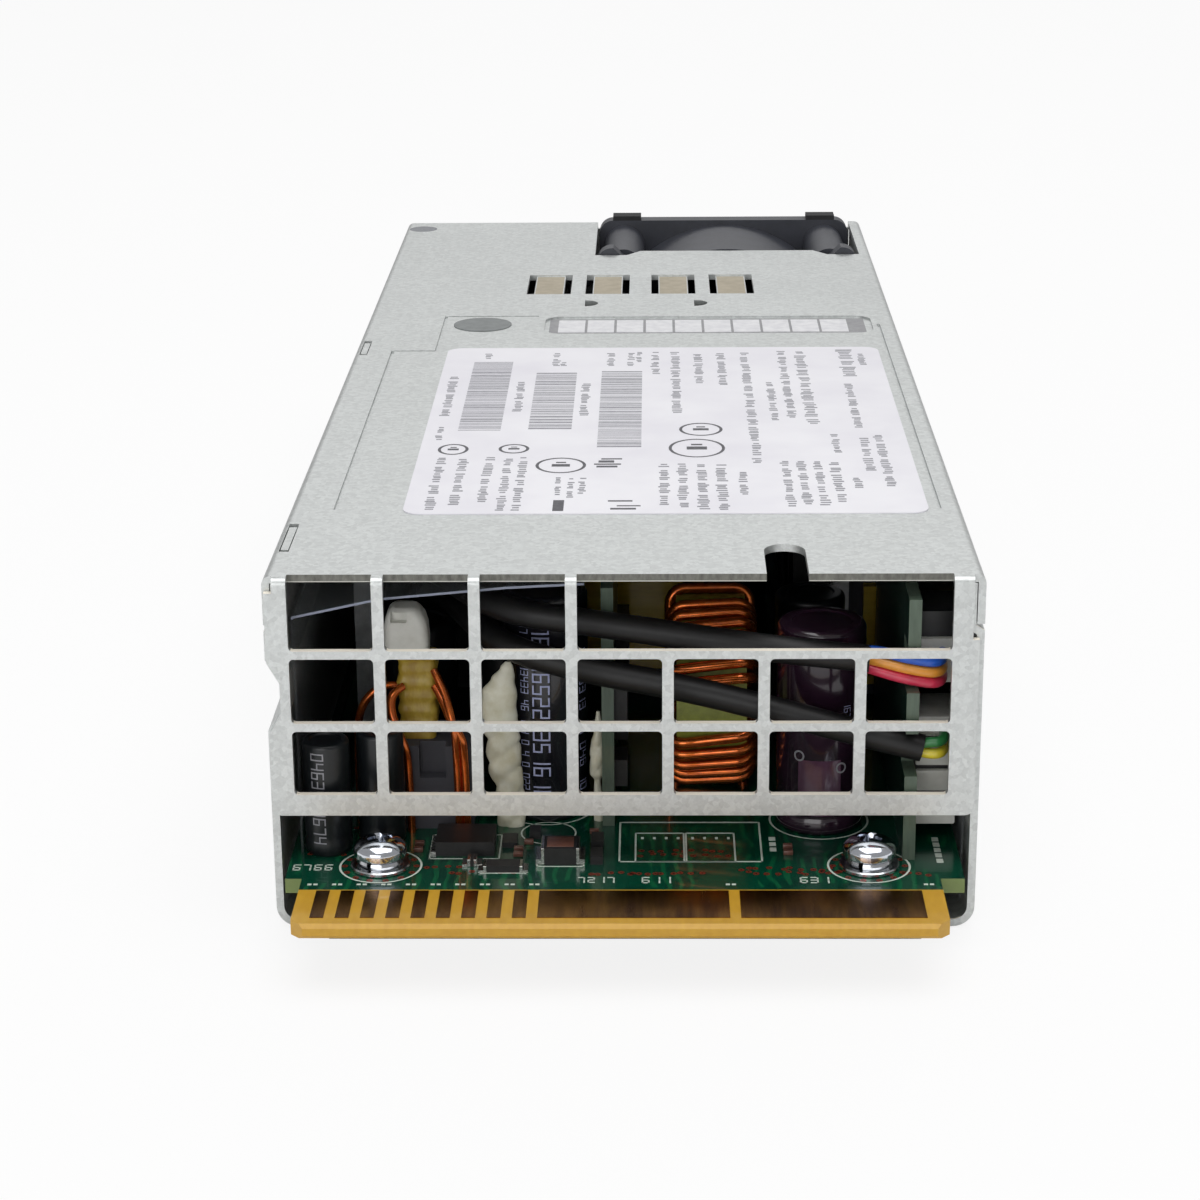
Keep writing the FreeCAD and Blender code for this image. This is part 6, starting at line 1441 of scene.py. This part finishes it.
@dataclass
class AdhesiveBeads:
    """Flattened, folded strings of white silicone beside the tall can and the control card."""

    sides: int = 40
    steps: int = 8

    # (height, middle, half width) of each string from its foot up
    long_bead: tuple = ((7.5, -12.3, 1.5), (10.0, -12.25, 1.65), (11.7, -12.4, 1.6), (14.4, -12.9, 1.9),
                        (17.5, -13.0, 1.9), (18.9, -13.35, 1.95), (21.4, -13.4, 1.92), (22.9, -13.35, 1.85),
                        (24.3, -12.9, 1.25), (25.6, -12.5, 0.7), (26.3, -12.35, 0.3))
    card_bead: tuple = ((7.5, -2.9, 0.5), (10.0, -2.95, 0.45), (12.2, -3.0, 0.4), (13.0, -3.05, 0.75),
                        (14.8, -3.0, 0.85), (16.6, -2.95, 0.7), (18.2, -2.9, 0.4), (20.4, -2.85, 0.2))


    def string(self, bm: BMesh, spine: Sequence[Spot], depth: float, flat: float) -> None:
        """A leaf-like bead with slanting folds.

        Args:
            bm: the mesh to add to.
            spine: (height, middle, half width) from the foot up, in millimetres.
            depth: of its middle behind the grille's face.
            flat: its thickness over its width.
        """
        rings = []
        for (low, x_low, wide_low), (high, x_high, wide_high) in zip(spine, spine[1:]):
            for step in range(self.steps):
                t = step / self.steps
                level = low + (high - low) * t
                t = t * t * (3 - 2 * t)
                middle, wide = x_low + (x_high - x_low) * t, wide_low + (wide_high - wide_low) * t
                calm = min(1.0, max(0.0, (20.5 - level) / 4))
                ring = []
                for side in range(self.sides):
                    turn = 2 * math.pi * side / self.sides
                    crease = abs(math.sin((level * 1.9 - 2.2 * math.cos(turn)) * 0.62)) ** 0.35
                    reach = wide * (1 - 0.26 * calm * (1 - crease) + 0.035 * math.sin(2.3 * level + 3 * turn))
                    ring.append((middle + reach * math.cos(turn),
                                 back(depth) + flat * reach * math.sin(turn), level))
                rings.append(corners(bm, ring))
        skin(bm, rings)

    def strings(self, bm: BMesh) -> None:
        """Both strings."""
        self.string(bm, self.long_bead, 10.6, 0.62)
        self.string(bm, self.card_bead, 11.8, 0.9)

    def build(self) -> None:
        """Make both strings in place of the plain ones."""
        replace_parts(piece("silicone_strings", self.strings, SILICONE), "adhesive_beads")


@dataclass
class Cables:
    """Black sleeved cables across the front, and the coloured leads and plugs on the supervisor card."""

    sleeve: float = 1.45
    wire: float = 0.56
    # (side, depth, height) points from the board to the card
    upper: tuple = ((-27.4, 43, 7.5), (-27.4, 43, 21), (-25, 33, 31.6), (-20, 20.5, 32.8), (-13, 9.4, 32.3),
                    (-4, 8.4, 31.4), (8, 7.4, 29.9), (17, 4.9, 29.4), (25.4, 3.9, 28.9))
    lower: tuple = ((-23.4, 43, 7.5), (-23.4, 43, 19), (-22, 33, 28), (-17.6, 18.8, 29.2), (-13, 8.6, 28.7),
                    (-5, 7.4, 26.6), (7, 6.3, 24.7), (17, 4.6, 22.6), (25, 3.7, 20.6), (31, 3.4, 19.2))

    def colour(self, colour: LeadColour, route: Sequence[Spot]) -> Thing:
        """One coloured lead."""
        return lead(f"{colour.name.lower()}_lead", route, self.wire, colour.finish())

    def build(self) -> None:
        """Make both cables, the five leads and the plugs."""
        upper = lead("upper_sleeve", self.upper, self.sleeve, SLEEVE_BLACK)
        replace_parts(upper, "power_cables")
        lead("lower_sleeve", self.lower, self.sleeve, SLEEVE_BLACK)
        leads = []
        for k, colour in enumerate((LeadColour.BLUE, LeadColour.ORANGE, LeadColour.RED)):
            high = 29.4 - 1.15 * k
            leads.append(self.colour(colour, (
                (24.6, 4.1, 28.85 + (1 - k) * 0.8), (25.7, 3.8, 28.85 + (1 - k) * 1.12),
                (29.4, 2.6, high - 0.1), (33.1, 2.9, high - 0.7), (33.1, 6.55, high - 0.7))))
        for k, colour in enumerate((LeadColour.GREEN, LeadColour.YELLOW)):
            high = 19.85 - 1.3 * k
            self.colour(colour, ((30.2, 3.5, 19.4 - 0.4 * k), (31.3, 3.4, high), (33.4, 3.2, high + 0.1),
                                 (33.6, 6.55, high + 0.2)))
        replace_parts(leads[0], "signal_leads")
        dress(SLEEVE_BLACK, "fan_lead", "inlet_leads")
        self.plugs()

    def plugs(self) -> None:
        """The two plugs on the supervisor card: white ribs on dark bodies that are painted shade of the wire
        slots.
        """
        low, high = (Vector(corner) * 1000 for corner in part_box("signal_plugs"))
        upper = high.z - 8.0

        def slot_shade_bodies(bm: BMesh) -> None:
            """Dark bodies that stand as painted shade in the wire slots of the white plugs."""
            for foot, head in ((low.z, low.z + 12.5), (upper, high.z)):
                slab(bm, (low.x, high.x - 0.15), (low.y + 0.5, high.y), (foot, head), 0.15)

        def ribs(bm: BMesh) -> None:
            """White ribs and end walls in front of the wire slots.

            Args:
                bm: the mesh to add to.
            """
            for foot, head in ((0.2, 2.4), (4.0, 6.4), (6.9, 8.9), (10.2, 12.5)):
                slab(bm, (low.x + 0.3, high.x), (low.y, high.y - 0.3), (low.z + foot, low.z + head), 0.25)
            slab(bm, (low.x, high.x), (low.y, high.y - 0.2), (upper + 0.2, upper + 5.2), 0.35)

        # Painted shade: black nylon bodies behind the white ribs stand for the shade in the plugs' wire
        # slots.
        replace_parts(piece("plug_slot_shade", slot_shade_bodies, NYLON_BLACK), "signal_plugs")
        piece("plug_ribs", ribs, NYLON)


@dataclass
class PowerStage:
    """Everything behind the front row: chokes, transformers, heatsinks and line parts."""

    def build(self) -> None:
        """Dress every node of the stage."""
        dress(HEATSINK, "heatsinks")
        dress(CHIP, "power_devices", "bridge_rectifier")
        dress(FILM, "insulating_film")
        dress(FERRITE, "transformer_cores", "line_choke_core")
        dress(COIL_TAPE, "transformer_coils")
        dress(CORE_GREEN, "boost_choke_core")
        dress(COPPER, "boost_choke_winding", "line_choke_coils")
        dress(BOX_GREY, "boxed_line_parts")
        dress(DISC, "disc_parts")
        dress(FUSE, "fuse")


@dataclass
class RearEnd:
    """Fan, inlet, latch, handle and status light."""

    def build(self) -> None:
        """Dress every node at the rear."""
        dress(FAN, "fan_frame", "fan_spider")
        dress(ROTOR, "fan_rotor")
        dress(ZINC, "fan_stator", "latch_bracket", "latch_lever")
        dress(SPRING, "fan_bearings", "latch_spring")
        dress(RUBBER, "fan_pads")
        dress(NYLON_BLACK, "inlet_body", "pull_handle", "light_bezel")
        dress(BRASS, "inlet_pins")
        dress(GRIP, "latch_grip")
        dress(LENS, "status_light")


# Studio

@dataclass
class Studio:
    """Camera, pale floor and soft light."""

    eye: Sequence[float] = (3.008, -363.262, 128.308)
    pitch: float = 0.326298
    yaw: float = -0.0197005
    roll: float = -0.00834296
    lens: float = 84.80
    sensor: float = 36.0
    clip: Span = (0.01, 30.0)
    floor_drop: float = 0.0002
    floor_reach: float = 6.0
    floor_glow: float = 0.86
    sky: Span = (0.42, 1.0)
    # (name, place, target, width and height, power in watts) of each soft light, in metres
    lights: tuple = (("top_light", (0.1, -0.25, 1.1), (0, -0.02, 0.03), (1.2, 1.0), 9.3),
                     ("back_light", (0.1, 1.2, 0.75), (0, 0, 0.03), (1.4, 0.6), 2.8),
                     ("front_light", (-0.35, -1.15, 0.3), (0, -0.05, 0.02), (0.9, 0.5), 3.2))

    def camera(self) -> None:
        """Set the camera in front of the card edge, looking down along the case."""
        ahead = Vector((math.sin(self.yaw) * math.cos(self.pitch), math.cos(self.yaw) * math.cos(self.pitch),
                        -math.sin(self.pitch)))
        across = Vector((math.cos(self.yaw), -math.sin(self.yaw), 0.0))
        above = across.cross(ahead)
        right = across * math.cos(self.roll) + above * math.sin(self.roll)
        up = above * math.cos(self.roll) - across * math.sin(self.roll)
        data = bpy.data.cameras.new("camera")
        data.sensor_width = self.sensor
        data.lens = self.lens
        data.clip_start, data.clip_end = self.clip
        thing = bpy.data.objects.new("camera", data)
        turn = Matrix((right, up, -ahead)).transposed().to_4x4()
        thing.matrix_world = Matrix.Translation(Vector(self.eye) * MM) @ turn
        bpy.context.scene.collection.objects.link(thing)
        bpy.context.scene.camera = thing

    def floor(self) -> None:
        """A wide pale floor that shows white and keeps the object's soft shadow."""
        mesh = bpy.data.meshes.new("studio_floor")
        level = CAD_BOX[0][2] - self.floor_drop
        mesh.from_pydata([(x * self.floor_reach, y * self.floor_reach, level)
                          for x, y in ((-1, -1), (1, -1), (1, 1), (-1, 1))], [], [(0, 1, 2, 3)])
        thing = bpy.data.objects.new("studio_floor", mesh)
        bpy.context.scene.collection.objects.link(thing)
        shader = Shader(bpy.data.materials.new("studio_floor"))
        cloud = shader.noise(90, 2)
        soft = shader.node("ShaderNodeBsdfPrincipled", inputs={
            "Base Color": shader.blend(cloud, srgb(244, 244, 244), srgb(240, 240, 240)), "Roughness": 0.9})
        white = shader.node("ShaderNodeEmission", inputs={"Color": (1, 1, 1, 1), "Strength": 1.0})
        seen = shader.node("ShaderNodeLightPath", output="Is Camera Ray")
        shader.close(shader.node("ShaderNodeMixShader", inputs={
            0: seen * self.floor_glow, 1: soft, 2: white}))
        mesh.materials.append(shader.owner)

    def world(self) -> None:
        """White where it is seen directly or through clear things, and a low even light elsewhere."""
        world = bpy.data.worlds.new("studio_world")
        bpy.context.scene.world = world
        shader = Shader(world)
        seen, through = (shader.node("ShaderNodeLightPath", output=ray)
                         for ray in ("Is Camera Ray", "Is Transmission Ray"))
        level = shader.node("ShaderNodeMapRange", inputs={
            "Value": seen.most(through), "To Min": self.sky[0], "To Max": self.sky[1]})
        shader.close(shader.node("ShaderNodeBackground", inputs={"Strength": level}), "ShaderNodeOutputWorld")

    def softbox(self, name: str, place: Spot, target: Spot, size: Span, power: float) -> None:
        """A rectangular soft light.

        Args:
            name: the light's name.
            place: where it hangs, in metres.
            target: what it points at, in metres.
            size: its width and height, in metres.
            power: in watts.
        """
        data = bpy.data.lights.new(name, "AREA")
        data.shape = "RECTANGLE"
        data.size, data.size_y = size
        data.energy = power
        thing = bpy.data.objects.new(name, data)
        thing.location = place
        thing.rotation_euler = (Vector(target) - Vector(place)).to_track_quat("-Z", "Y").to_euler()
        bpy.context.scene.collection.objects.link(thing)

    def build(self) -> None:
        """Set up the view and the light."""
        self.camera()
        self.floor()
        self.world()
        for light in self.lights:
            self.softbox(*light)
        bpy.context.scene.view_settings.view_transform = "Standard"


def main() -> None:
    """Build the whole scene in order."""
    for assembly in (Studio(), RatingLabel(), MainBoard(), BoardScrews(), ToroidChoke(), Capacitors(),
                     FilterChoke(), AdhesiveBeads(), Cables(), PowerStage(), RearEnd(), Enclosure()):
        assembly.build()
        LOG.info("%s ready", type(assembly).__name__)


if __name__ == "__main__":
    logging.basicConfig(level=logging.INFO)
    main()
